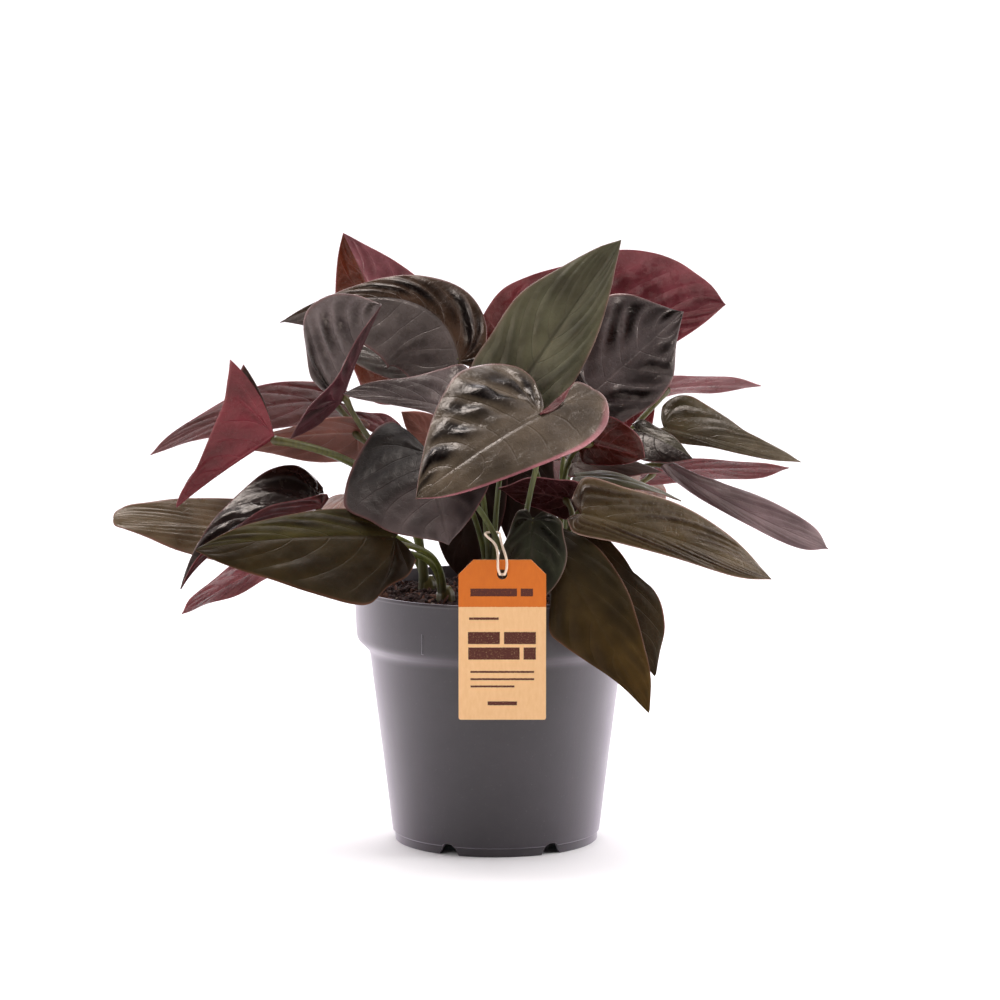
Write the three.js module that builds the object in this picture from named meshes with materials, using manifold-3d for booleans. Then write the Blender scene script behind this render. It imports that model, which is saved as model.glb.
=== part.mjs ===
// Potted red arrow syngonium: millimetres, +Z up, the origin in the middle of the pot's foot.
// +X is the viewer's right and +Y points away from the viewer, who looks along +Y.
import * as THREE from 'three';
import Module from 'manifold-3d';

const wasm = await Module();
wasm.setup();
const { Manifold, Mesh: ManifoldMesh } = wasm;

// Driving dimensions
const GAP = 0.3;
const POT = {
  height: 108, rimRadius: 60, bandRadius: 58.8, bandBottom: 86, shoulderZ: 81, shoulderRadius: 53.4,
  lipRadius: 43.8, lipZ: 4, footRadius: 42.8, wall: 1.2, footWall: 1.6, floorZ: 5.2, floor: 1.4,
  padRadius: 13, notches: 6, notchTurn: 32.5, notchWide: 9, notchNarrow: 4, notchHeight: 4.8,
  drainRadius: 4, drainCircle: 28, segments: 44,
};
const SOIL = { level: 102.5, crown: 2.5, bump: 1.6, rings: 6, segments: 30, holeDepth: 10 };
const CROWN = { radius: 4.6, top: 4.2, height: 8, sides: 8 };
const PETIOLE = { radius: 1.25, sides: 5, steps: 6, entry: 40 };
const BLADE = { thickness: 0.7, rib: 0.8, rows: 9, columns: 3, fan: 0.34 };
const TAG = { x: 2.6, y: -61.5, top: 127.5, width: 35.6, height: 66, cut: 6, thickness: 0.8,
  holeRadius: 2.1, holeDrop: 6 };
const STRING = { radius: 0.5, sides: 6, steps: 44 };

const vec = (p) => new THREE.Vector3(p[0], p[1], p[2]);
const rad = THREE.MathUtils.degToRad;

// Seeded draw, so that every run gives the same soil
function seeded(seed) {
  let state = seed >>> 0;
  return () => {
    state = (state * 1664525 + 1013904223) >>> 0;
    return state / 4294967296;
  };
}

// Colours, roughness and metalness of the materials
const MATERIALS = {
  pot: [0x35302f, 0.42],
  soil: [0x2c1a15, 0.95],
  card: [0xe8b988, 0.8],
  elastic: [0xf0dcc4, 0.7],
  stalk: [0x77803a, 0.5],
  black: [0x231a1a, 0.3],
  silver: [0x5c5456, 0.3],
  green: [0x585a46, 0.45],
  olive: [0x4a3f26, 0.4],
  brown: [0x6b5e4c, 0.45],
  red: [0x7e3038, 0.4],
  pink: [0x8a5560, 0.4],
};

function material(key) {
  const [color, roughness] = MATERIALS[key];
  return new THREE.MeshStandardMaterial({ color, roughness, metalness: 0, name: key });
}

// A closed mesh from points and triangles
function geometryOf(points, triangles) {
  const geometry = new THREE.BufferGeometry();
  const flat = points.flatMap((p) => [p.x, p.y, p.z]);
  geometry.setAttribute('position', new THREE.Float32BufferAttribute(flat, 3));
  geometry.setIndex(triangles.flat());
  geometry.computeVertexNormals();
  return geometry;
}

// Points that lie together become one, and triangles that collapse are dropped
function welded(geometry) {
  const position = geometry.getAttribute('position');
  const index = geometry.index ? [...geometry.index.array] : [...Array(position.count).keys()];
  const seen = new Map();
  const points = [];
  const map = [];
  for (let i = 0; i < position.count; i += 1) {
    const p = new THREE.Vector3().fromBufferAttribute(position, i);
    const key = [p.x, p.y, p.z].map((c) => Math.round(c * 2000)).join();
    if (!seen.has(key)) {
      seen.set(key, points.length);
      points.push(p);
    }
    map.push(seen.get(key));
  }
  const triangles = [];
  for (let i = 0; i < index.length; i += 3) {
    const t = [map[index[i]], map[index[i + 1]], map[index[i + 2]]];
    if (t[0] !== t[1] && t[1] !== t[2] && t[2] !== t[0]) triangles.push(t);
  }
  return { points, triangles };
}

function toManifold(geometry) {
  const { points, triangles } = welded(geometry);
  return new Manifold(new ManifoldMesh({
    numProp: 3,
    vertProperties: new Float32Array(points.flatMap((p) => [p.x, p.y, p.z])),
    triVerts: new Uint32Array(triangles.flat()),
  }));
}

function fromManifold(solid) {
  const mesh = solid.getMesh();
  const geometry = new THREE.BufferGeometry();
  geometry.setAttribute('position', new THREE.Float32BufferAttribute(mesh.vertProperties, 3));
  geometry.setIndex([...mesh.triVerts]);
  geometry.computeVertexNormals();
  return geometry;
}

// A profile of radius and height turned about +Z
function turned(profile, segments) {
  const geometry = new THREE.LatheGeometry(profile.map(([r, z]) => new THREE.Vector2(r, z)), segments);
  return geometry.rotateX(Math.PI / 2);
}

// A prism along +Y: the outline is in X and Z
function prism(outline, depth) {
  const shape = new THREE.Shape(outline.map(([x, z]) => new THREE.Vector2(x, z)));
  const geometry = new THREE.ExtrudeGeometry(shape, { depth, bevelEnabled: false });
  return geometry.rotateX(Math.PI / 2).translate(0, depth, 0);
}

// Pot: thin wall, rim band on a shoulder, raised floor, a foot ring with notches and a middle pad
function innerRadius(z) {
  const { bandRadius, rimRadius, bandBottom, height, shoulderZ, shoulderRadius, lipRadius, lipZ, wall } = POT;
  if (z >= bandBottom) {
    return THREE.MathUtils.mapLinear(z, bandBottom, height, bandRadius, rimRadius - 0.4) - wall;
  }
  if (z >= shoulderZ) {
    return THREE.MathUtils.mapLinear(z, shoulderZ, bandBottom, shoulderRadius, bandRadius) - wall;
  }
  return THREE.MathUtils.mapLinear(z, lipZ, shoulderZ, lipRadius, shoulderRadius) - wall;
}

function pot() {
  const { height, rimRadius, bandRadius, bandBottom, shoulderZ, shoulderRadius, lipRadius, lipZ, footRadius,
    footWall, floorZ, floor, padRadius, segments } = POT;
  const top = floorZ + floor;
  const profile = [
    [0, 0], [padRadius, 0], [padRadius + 2.4, floorZ], [footRadius - footWall, floorZ],
    [footRadius - footWall, 0], [footRadius, 0], [footRadius + 0.1, lipZ - 0.5], [lipRadius, lipZ],
    [shoulderRadius, shoulderZ], [bandRadius, bandBottom], [rimRadius - 0.3, height - 1.6],
    [rimRadius, height - 1], [rimRadius - 0.3, height], [rimRadius - 1.4, height],
    [innerRadius(bandBottom + 1), bandBottom + 1], [innerRadius(shoulderZ), shoulderZ],
    [innerRadius(top), top], [padRadius + 1.6, top], [padRadius - 0.8, floor], [0, floor],
  ];
  let solid = toManifold(turned(profile, segments));
  const cuts = [];
  for (let i = 0; i < POT.notches; i += 1) {
    const turn = POT.notchTurn + (i * 360) / POT.notches;
    const { notchWide: wide, notchNarrow: narrow, notchHeight: tall } = POT;
    const [low, high] = [wide / 2 + 0.4, narrow / 2];
    const outline = [[-low, -0.5], [low, -0.5], [high, tall], [-high, tall]];
    const notch = prism(outline, 8).translate(0, footRadius - 5, 0).rotateZ(rad(turn));
    const drain = new THREE.CylinderGeometry(POT.drainRadius, POT.drainRadius, 12, 12).rotateX(Math.PI / 2);
    drain.translate(0, POT.drainCircle, floorZ).rotateZ(rad(turn));
    cuts.push(toManifold(notch), toManifold(drain));
  }
  solid = solid.subtract(Manifold.union(cuts));
  return fromManifold(solid);
}

// The young plants: where each crown stands in the soil
const PLANTS = {
  front: [8, -30],
  left_front: [-21, -21],
  left: [-29, 8],
  middle: [-2, 2],
  right_front: [30, -17],
  right: [27, 14],
  back: [-4, 30],
};

// Soil: fills the pot to just below the rim, with a crumbly top and a lump of bark at the right edge
function soilHeight(x, y) {
  const r = Math.hypot(x, y) / 57;
  const waves = Math.sin(x * 0.41 + 1.3) * Math.cos(y * 0.37) + 0.6 * Math.sin(x * 0.83 - y * 0.71 + 0.4);
  const lump = 9 * Math.exp(-(((x - 50) / 6) ** 2 + ((y - 8) / 9) ** 2));
  return SOIL.level + SOIL.crown * (1 - r * r) + SOIL.bump * waves * (0.4 + 0.6 * (1 - r)) + lump;
}

function soil() {
  const { rings, segments } = SOIL;
  const draw = seeded(7);
  const points = [];
  const triangles = [];
  const ring = (radius, heightAt, shake) => {
    for (let k = 0; k < segments; k += 1) {
      const a = (k / segments) * Math.PI * 2;
      const p = new THREE.Vector3(radius * Math.cos(a), radius * Math.sin(a), 0);
      p.z = heightAt(p.x, p.y) + shake * (draw() - 0.5);
      points.push(p);
    }
  };
  const bottom = POT.floorZ + POT.floor + GAP;
  ring(innerRadius(bottom) - GAP, () => bottom, 0);
  ring(innerRadius(POT.shoulderZ) - GAP, () => POT.shoulderZ, 0);
  ring(innerRadius(POT.bandBottom + 1) - GAP, () => POT.bandBottom + 1, 0);
  for (let k = 0; k < rings; k += 1) {
    const radius = (innerRadius(SOIL.level - 3) - GAP) * (1 - k / rings);
    ring(radius, soilHeight, k === 0 ? 0 : 1.6);
  }
  const rows = points.length / segments;
  for (let i = 0; i + 1 < rows; i += 1) {
    for (let k = 0; k < segments; k += 1) {
      const a = i * segments + k;
      const b = i * segments + ((k + 1) % segments);
      triangles.push([a, b, b + segments], [a, b + segments, a + segments]);
    }
  }
  const foot = points.push(new THREE.Vector3(0, 0, bottom)) - 1;
  const crest = points.push(new THREE.Vector3(0, 0, soilHeight(0, 0))) - 1;
  for (let k = 0; k < segments; k += 1) {
    const next = (k + 1) % segments;
    const last = (rows - 1) * segments;
    triangles.push([foot, next, k], [crest, last + k, last + next]);
  }
  const holes = Object.values(PLANTS).map(([x, y]) => {
    const radius = CROWN.radius + GAP;
    const hole = new THREE.CylinderGeometry(radius, radius, 60, 10).rotateX(Math.PI / 2);
    return toManifold(hole.translate(x, y, soilHeight(x, y) - SOIL.holeDepth + 30));
  });
  return fromManifold(toManifold(geometryOf(points, triangles)).subtract(Manifold.union(holes)));
}

// Tag: a card with two cut corners and a punched hole, hanging in front of the rim
function tag() {
  const { x, y, top, width, height, cut, thickness, holeRadius, holeDrop } = TAG;
  const half = width / 2;
  const shape = new THREE.Shape([
    [-half, -height], [half, -height], [half, -cut], [half - cut, 0], [cut - half, 0], [-half, -cut],
  ].map(([u, v]) => new THREE.Vector2(u, v)));
  const hole = new THREE.Path();
  hole.absarc(0, -holeDrop, holeRadius, 0, Math.PI * 2, true);
  shape.holes.push(hole);
  const card = new THREE.ExtrudeGeometry(shape, { depth: thickness, bevelEnabled: false, curveSegments: 8 });
  return card.rotateX(Math.PI / 2).translate(x, y + thickness, top);
}

// Elastic: a closed loop through the tag's hole and round a front petiole
const STRING_ROUTE = [
  [2.6, -59.9, 121.3], [1.7, -60.6, 121.5], [1.6, -62.4, 121.8], [0.9, -62.9, 124], [0.8, -62.7, 127],
  [0.8, -61.4, 129.6], [0.2, -57.5, 132], [-1.2, -50, 133.3], [-3.6, -40, 134], [-4.4, -33, 134.2],
  [-3.8, -29.4, 134.2], [-1.6, -28, 134.2], [0.8, -29.2, 134.2], [1.6, -33, 134.2], [1.8, -40, 134],
  [2.2, -50, 133.3], [2.8, -57.5, 132], [3.8, -61.4, 129.6], [4.4, -62.7, 127], [4.3, -62.9, 124],
  [3.6, -62.4, 121.8], [3.5, -60.6, 121.5],
];

function stringLoop() {
  const route = new THREE.CatmullRomCurve3(STRING_ROUTE.map(vec), true);
  return new THREE.TubeGeometry(route, STRING.steps, STRING.radius, STRING.sides, true);
}

// Blades: the base is where the petiole meets the blade, face is where the upper side looks, and pairs
// give the half on the left, then the half on the right, of one who looks along the blade to its tip
// from above. width is a half's width, back the length of its lobe behind the base and full how round
// it stays towards the tip. edge holds a half's own outline instead, as distances along the midrib and
// out from it. arch is the rise at the base and the droop at the tip in degrees, sweep the same towards
// the right. fold lifts a half, cup curls it up towards its margin.
const BLADES = [
  { name: 'blade_front_heart', plant: 'front', tint: 'black', base: [18, -55, 186], tip: [-32, -88, 156],
    face: [-2, -8, 4], arch: [14, 14], fold: [-4, -4], sinus: [[-9, 3], [-7, 3]],
    edge: [
      [[-20, -4], [-27, -6], [-31, -2], [-32, 7], [-25, 16], [-9, 21], [9, 21], [23, 19], [44, 13], [59, 6],
        [67, 0]],
      [[-9, 10], [-12, 17], [-12, 26], [-6, 33], [4, 36], [14, 36], [24, 32], [32, 28], [45, 19], [58, 8],
        [67, 0]],
    ] },
  { name: 'blade_top_green', plant: 'middle', tint: 'green', base: [9, -22, 193], tip: [52, -8, 254],
    face: [-2, -8, 2], width: [22, 19], back: [8, 8], full: [1.15, 1], arch: [6, 6], fold: [4, 4] },
  { name: 'blade_top_right_red', plant: 'right', tint: 'red', base: [6, 30, 204], tip: [98, 38, 223],
    face: [0, 9, 1], arch: [8, 8], fold: [-4, -4],
    edge: [
      [[-16, 3], [-14, 12], [-4, 20], [16, 24], [40, 21], [58, 16], [72, 11], [84, 6], [94, 0]],
      [[-14, 10], [-8, 19], [1, 27], [14, 30], [32, 31], [52, 33], [67, 29], [77, 23], [84, 16], [90, 9],
        [94, 0]],
    ] },
  { name: 'blade_right_dark', plant: 'right', tint: 'silver', base: [40, 2, 189], tip: [79, 14, 222],
    face: [0, -8, 3], arch: [6, 6], fold: [-4, -4],
    edge: [
      [[-8, 8], [-4, 17], [6, 25], [20, 28], [34, 27], [40, 22], [46, 11], [52, 0]],
      [[-12, 10], [-8, 16], [-2, 18], [6, 19], [17, 21], [25, 20], [30, 18], [41, 8], [52, 0]],
    ] },
  { name: 'blade_left_arching', plant: 'middle', tint: 'silver', base: [-16, 15, 201], tip: [-92, 30, 216],
    face: [0, -7, 4], arch: [12, 8], sweep: [66, 38], reach: [0.46, 0.42], fold: [-10, -6],
    edge: [
      [[-8, 6], [-10, 13], [-4, 21], [10, 28], [32, 29], [52, 20], [68, 8], [78, 0]],
      [[-3, 5], [0, 10], [8, 16], [18, 18], [30, 14], [44, 9], [58, 5], [70, 2], [78, 0]],
    ] },
  { name: 'blade_left_under_strip', plant: 'middle', tint: 'silver', base: [-20, 26, 192],
    tip: [-74, 34, 208], face: [0, -5, 6], width: [11, 14], back: [4, 5], full: [1.2, 1],
    arch: [10, 8], fold: [-4, -4] },
  { name: 'blade_left_silver', plant: 'left', tint: 'silver', base: [-64, -22, 189], tip: [-47, -30, 229],
    face: [-8, 0, 3], arch: [4, 4], fold: [66, 44],
    edge: [
      [[0, 10], [3, 16], [11, 23], [19, 27], [27, 28], [35, 24], [41, 13], [44, 0]],
      [[-19, 20], [-14, 21], [-6, 17], [2, 11], [10, 8], [20, 5], [32, 3], [44, 0]],
    ] },
  { name: 'blade_left_red_arrow', plant: 'left', tint: 'red', base: [-91, -42, 176], tip: [-131, -46, 147],
    face: [-7, 0, 8], arch: [4, 6], fold: [68, 78], sinus: [[-7, 18], [-6, 14]],
    edge: [
      [[-2, 40], [2, 33], [6, 29], [12, 23], [21, 15], [30, 10], [41, 5], [50, 0]],
      [[-5, 31], [0, 28], [6, 23], [12, 19], [21, 13], [30, 8], [41, 4], [50, 0]],
    ] },
  { name: 'blade_left_mauve', plant: 'left', tint: 'pink', base: [-66, 5, 185], tip: [-145, 0, 163],
    face: [0, 6, 6], width: [14, 15], back: [6, 6], full: [1.2, 1], arch: [30, 25], fold: [-6, -6] },
  { name: 'blade_left_olive_under', plant: 'left', tint: 'brown', base: [-58, -8, 174], tip: [-108, -20, 169],
    face: [0, 6, 6], width: [10, 18], back: [5, 5], arch: [10, 10], fold: [-6, -6] },
  { name: 'blade_far_left_long', plant: 'left', tint: 'brown', base: [-82, -5, 129], tip: [-159, -15, 138],
    face: [0, -7, 6], arch: [2, 8], fold: [-4, -4],
    edge: [
      [[-6, 6], [-4, 13], [8, 18], [30, 17], [50, 13], [64, 8], [74, 5], [78, 3], [79, 0]],
      [[-6, 6], [-4, 12], [8, 16], [30, 16], [50, 13], [64, 9], [74, 7], [78, 4], [79, 0]],
    ] },
  { name: 'blade_left_folded_black', plant: 'left_front', tint: 'black', base: [-73, -22, 144],
    tip: [-129, -52, 114], face: [-2, -2, 6], arch: [20, 35], fold: [58, 34],
    edge: [
      [[-3, 4], [0, 8], [14, 8], [28, 8], [42, 6], [56, 4], [70, 0]],
      [[-6, 10], [-5, 18], [0, 23], [12, 24], [24, 20], [36, 14], [48, 8], [60, 4], [70, 0]],
    ] },
  { name: 'blade_front_left_big', plant: 'left_front', tint: 'olive', base: [-41, -62, 137],
    tip: [-121, -78, 134], face: [0, -6, 5], arch: [12, 12], fold: [-6, -4],
    edge: [
      [[-8, 10], [-3, 18], [6, 23], [14, 30], [21, 31], [39, 25], [54, 17], [66, 11], [75, 6], [82, 0]],
      [[-4, 7], [0, 11], [14, 13], [34, 13], [54, 10], [70, 5], [82, 0]],
    ] },
  { name: 'blade_low_left_red', plant: 'left_front', tint: 'red', base: [-91, -45, 125],
    tip: [-128, -60, 105], face: [0, 5, 6], width: [14, 10], back: [4, 4], full: [1.5, 1.1],
    arch: [8, 8], fold: [-6, -6] },
  { name: 'blade_centre_black', plant: 'front', tint: 'black', base: [-27, -46, 169], tip: [-19, -78, 136],
    face: [-1, -6, 5], arch: [12, 10], fold: [-6, -4],
    edge: [
      [[-8, 6], [-10, 14], [-4, 20], [8, 23], [22, 21], [34, 13], [46, 0]],
      [[-20, 8], [-26, 13], [-24, 19], [-15, 27], [-5, 33], [7, 37], [18, 38], [27, 29], [33, 23], [39, 13],
        [46, 0]],
    ] },
  { name: 'blade_narrow_grey', plant: 'middle', tint: 'silver', base: [-13, -24, 183], tip: [-63, -30, 192],
    face: [0, -7, 5], arch: [25, 20], fold: [-4, -4],
    edge: [
      [[-4, 4], [-2, 9], [6, 8], [14, 5], [25, 4], [38, 3], [46, 2], [51, 0]],
      [[-8, 10], [-6, 18], [2, 23], [12, 18], [25, 11], [36, 7], [45, 4], [51, 0]],
    ] },
  { name: 'blade_low_right_big', plant: 'right_front', tint: 'olive', base: [20, -35, 136],
    tip: [62, -76, 67], face: [-1, -8, 3], arch: [28, 14], fold: [-6, -6],
    edge: [
      [[-3, 3], [1, 6], [9, 10], [20, 15], [32, 17], [45, 17], [55, 15], [66, 12], [78, 8], [91, 0]],
      [[-3, 3], [0, 6], [10, 10], [22, 10], [33, 12], [39, 17], [44, 19], [50, 17], [60, 12], [74, 5],
        [91, 0]],
    ] },
  { name: 'blade_low_right_behind', plant: 'right_front', tint: 'brown', base: [39.5, -38, 137],
    tip: [65, -58, 79], face: [2, -8, 3], arch: [18, 10], fold: [-6, -6],
    edge: [
      [[-4, 2], [-2, 4], [4, 4], [10, 5], [17, 7], [26, 9], [32, 13], [38, 14], [45, 13], [51, 11], [58, 6],
        [67, 0]],
      [[-4, 3], [0, 6], [12, 8], [28, 9], [44, 8], [56, 4], [67, 0]],
    ] },
  { name: 'blade_small_above_tag', plant: 'front', tint: 'green', base: [15, -48, 142], tip: [13, -57, 109.5],
    face: [-1, -8, 3], arch: [10, 8], fold: [-6, -6],
    edge: [
      [[-4, 4], [-3, 8], [0, 12], [5, 13], [14, 15], [23, 13], [30, 8], [34, 0]],
      [[-5, 3], [-4, 6], [0, 8], [7, 10], [16, 13], [24, 11], [30, 7], [34, 0]],
    ] },
  { name: 'blade_right_long', plant: 'right_front', tint: 'brown', base: [35, -43, 144], tip: [114, -32, 115],
    face: [0, -6, 5], width: [18, 9], back: [5, 5], full: [1.25, 1.5], arch: [14, 14], fold: [-4, -4] },
  { name: 'blade_far_right_twisted', plant: 'right', tint: 'pink', base: [72, 10, 158], tip: [141, 15, 121],
    face: [0, -6, 5], arch: [-16, -8], fold: [0, 0],
    edge: [
      [[-2, 2], [5, 3], [14, 4], [26, 7], [42, 10], [58, 9], [72, 6], [78, 0]],
      [[-2, 3], [6, 5], [14, 5], [26, 5], [42, 6], [58, 6], [71, 4], [78, 0]],
    ] },
  { name: 'blade_right_thin_red', plant: 'right', tint: 'red', base: [66, 30, 153], tip: [126, 45, 152],
    face: [0, 5, 5], width: [9, 6], back: [4, 4], full: [1.6, 1.2], arch: [4, 4], fold: [-4, -4] },
  { name: 'blade_right_olive', plant: 'right', tint: 'olive', base: [71, 15, 173], tip: [128, 0, 160],
    face: [0, -7, 5], arch: [4, 6], fold: [-4, -14],
    edge: [
      [[-3, 5], [-4, 11], [0, 16], [6, 18], [14, 16], [24, 12], [34, 7], [43, 5], [52, 3], [60, 0]],
      [[-3, 3], [-1, 5], [8, 5], [20, 4], [32, 4], [44, 3], [52, 2], [60, 0]],
    ] },
  { name: 'blade_right_thin_pink', plant: 'right', tint: 'pink', base: [72, 35, 188], tip: [114, 50, 187],
    face: [0, 5, 5], width: [6, 7], back: [4, 4], full: [1.2, 1.2], arch: [6, 6], fold: [-4, -4] },
  { name: 'blade_right_small_dark', plant: 'right', tint: 'black', base: [59, 0, 174], tip: [82, -14, 163],
    face: [1, -6, 5], width: [6, 13], back: [4, 5], full: [1, 1.2], arch: [12, 12], fold: [-6, -6] },
  { name: 'blade_right_amber', plant: 'right', tint: 'red', base: [39, -13, 170], tip: [62, -19, 164],
    face: [0, 9, 3], width: [9, 14], back: [4, 5], full: [1, 1.5], arch: [6, 6], fold: [-6, -6] },
  { name: 'blade_right_dark_red', plant: 'right', tint: 'red', base: [55, 34, 166], tip: [68, 42, 184],
    face: [3, 5, 3], width: [8, 8], back: [4, 4], arch: [8, 8], fold: [-6, -6] },
  { name: 'blade_centre_purple', plant: 'right_front', tint: 'pink', base: [30, -23, 148], tip: [1, -24, 152],
    face: [0, 5, 5], width: [13, 12], back: [5, 5], arch: [8, 8], fold: [-6, -6] },
  { name: 'blade_right_strip', plant: 'right_front', tint: 'green', base: [34, -15, 156], tip: [77, -19, 146],
    face: [0, -2, 7], width: [6, 6], back: [2, 2], arch: [20, 14], fold: [-6, -6] },
  { name: 'blade_centre_mauve', plant: 'right', tint: 'pink', base: [33, 0, 160], tip: [70, 4, 155],
    face: [0, -5, 6], width: [8, 8], back: [4, 4], arch: [10, 10], fold: [-6, -6] },
  { name: 'blade_top_left_red', plant: 'back', tint: 'red', base: [-38, 42, 197], tip: [-66, 62, 252],
    face: [-1, 8, 1], width: [26, 22], back: [8, 14], full: [1, 1.15], arch: [6, 6], fold: [6, 12] },
  { name: 'blade_left_crumpled', plant: 'left', tint: 'pink', base: [-44, 6, 173], tip: [-61, 2, 181],
    face: [0, 5, 5], width: [7, 6], back: [3, 3], arch: [8, 8], fold: [-6, -6] },
  { name: 'blade_left_amber', plant: 'middle', tint: 'brown', base: [-24, 5, 168], tip: [-40, 12, 180],
    face: [0, 8, 2], width: [9, 9], back: [4, 4], arch: [8, 8], fold: [-6, -6] },
  { name: 'blade_back_left', plant: 'back', tint: 'black', base: [-24, 50, 166], tip: [-46, 94, 128],
    face: [-2, 4, 7], width: [22, 22], back: [10, 10], arch: [24, 20], fold: [-8, -8] },
  { name: 'blade_back_middle', plant: 'back', tint: 'black', base: [14, 58, 168], tip: [24, 108, 128],
    face: [1, 5, 7], width: [24, 24], back: [11, 11], arch: [26, 22], fold: [-8, -8] },
  { name: 'blade_back_right', plant: 'right', tint: 'olive', base: [44, 44, 156], tip: [72, 92, 124],
    face: [3, 4, 7], width: [21, 21], back: [9, 9], arch: [22, 20], fold: [-8, -8] },
  { name: 'blade_back_far_left', plant: 'left', tint: 'olive', base: [-50, 38, 146], tip: [-82, 78, 118],
    face: [-4, 4, 7], width: [18, 18], back: [8, 8], arch: [22, 18], fold: [-8, -8] },
  { name: 'blade_back_upright', plant: 'back', tint: 'red', base: [2, 48, 190], tip: [16, 78, 214],
    face: [0, -5, 5], width: [15, 15], back: [7, 7], arch: [14, 12], fold: [-6, -6] },
  { name: 'blade_back_low_left', plant: 'back', tint: 'black', base: [-11, 23, 161], tip: [-16, 19, 109],
    face: [0, -8, 1], width: [17, 13], back: [7, 7], full: [1.5, 1.5], arch: [8, 8], fold: [-6, -6] },
  { name: 'blade_back_low_right', plant: 'back', tint: 'black', base: [10, 27, 160], tip: [14, 23, 112],
    face: [0, -8, 1], width: [14, 12], back: [7, 7], full: [1.4, 1.4], arch: [8, 8], fold: [-6, -6] },
  { name: 'blade_back_inner', plant: 'right', tint: 'black', base: [38, 41, 182], tip: [62, 71, 174],
    face: [2, -2, 7], width: [13, 13], back: [6, 6], arch: [16, 14], fold: [-8, -8] },
];

// The flat outline of one half: distance along the midrib, then distance out from it
function margin(row, half, length) {
  const width = row.width?.[half];
  const back = row.back?.[half];
  const full = row.full?.[half] ?? 1;
  const nodes = row.edge?.[half] ?? [
    [-back, width * 0.35], [-back * 0.86, width * 0.65], [-back * 0.35, width * 0.98],
    [length * 0.18, width], [length * 0.45, width * Math.min(1, 0.85 * full)],
    [length * 0.7, width * 0.54 * full], [length * 0.89, width * 0.2 * full * full], [length, 0],
  ];
  return new THREE.CatmullRomCurve3(nodes.map(([u, v]) => new THREE.Vector3(u, v, 0)), false, 'centripetal');
}

// The midrib as a cubic curve, with the frame that turns along it
function spine(row) {
  const base = vec(row.base);
  const along = vec(row.tip).sub(base);
  const length = along.length();
  along.divideScalar(length);
  const face = vec(row.face).addScaledVector(along, -vec(row.face).dot(along)).normalize();
  const side = along.clone().cross(face);
  const [rise, droop] = (row.arch ?? [0, 0]).map(rad);
  const [swing, hook] = (row.sweep ?? [0, 0]).map(rad);
  const at = (a, u, s) => {
    return base.clone().addScaledVector(along, a).addScaledVector(face, u).addScaledVector(side, s);
  };
  const [near, far] = (row.reach ?? [0.33, 0.33]).map((share) => share * length);
  const curve = new THREE.CubicBezierCurve3(
    base,
    at(near * Math.cos(rise) * Math.cos(swing), near * Math.sin(rise), near * Math.sin(swing)),
    at(length - far * Math.cos(droop) * Math.cos(hook), far * Math.sin(droop), far * Math.sin(hook)),
    vec(row.tip),
  );
  const frame = (u) => {
    const t = THREE.MathUtils.clamp(u, 0, 1);
    const tangent = curve.getTangent(t);
    const point = curve.getPoint(t).addScaledVector(tangent, (u - t) * length);
    const up = face.clone().addScaledVector(tangent, -face.dot(tangent)).normalize();
    up.applyAxisAngle(tangent, rad(row.twist ?? 0) * t);
    return { point, tangent, up, side: tangent.clone().cross(up) };
  };
  return { length, frame };
}

// One half as rows of points that follow the side veins: the first rows fan out from the base into the
// lobe, and the later ones start one after another along the midrib
function halfRows(row, half, { length, frame }) {
  const { rows, columns, fan } = BLADE;
  const fold = rad((row.fold ?? [0, 0])[half]);
  const ripple = row.ripple ?? 0.8;
  const sign = half === 0 ? -1 : 1;
  const outline = margin(row, half, length);
  const reach = Math.max(...outline.points.map((p) => p.y));
  const first = outline.points[0];
  const sinus = row.sinus?.[half] ?? [first.x * 0.55, reach * 0.1];
  const cup = rad((row.cup ?? [0, 0])[half]) / reach;
  const grid = [];
  for (let i = 0; i <= rows; i += 1) {
    const t = i / rows;
    const start = Math.max(0, (t - fan) / (1 - fan)) * length;
    const edge = outline.getPoint(t);
    const bend = i === 0 ? sinus : [start + (edge.x - start) * 0.3, edge.y * 0.5];
    const line = [];
    for (let j = 0; j <= columns; j += 1) {
      const v = j / columns;
      const u = (1 - v) ** 2 * start + 2 * v * (1 - v) * bend[0] + v * v * edge.x;
      const out = 2 * v * (1 - v) * bend[1] + v * v * edge.y;
      const { point, up, side } = frame(u / length);
      const turn = fold + cup * out;
      const across = cup ? (Math.sin(turn) - Math.sin(fold)) / cup : out * Math.cos(fold);
      const lift = cup ? (Math.cos(fold) - Math.cos(turn)) / cup : out * Math.sin(fold);
      const wave = ripple * v ** 3 * Math.sin(t * 15 + half * 2.1 + length) * Math.min(1, out / 6);
      line.push(point.addScaledVector(side, sign * across).addScaledVector(up, lift + wave));
    }
    grid.push(line);
  }
  return grid;
}

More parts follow.
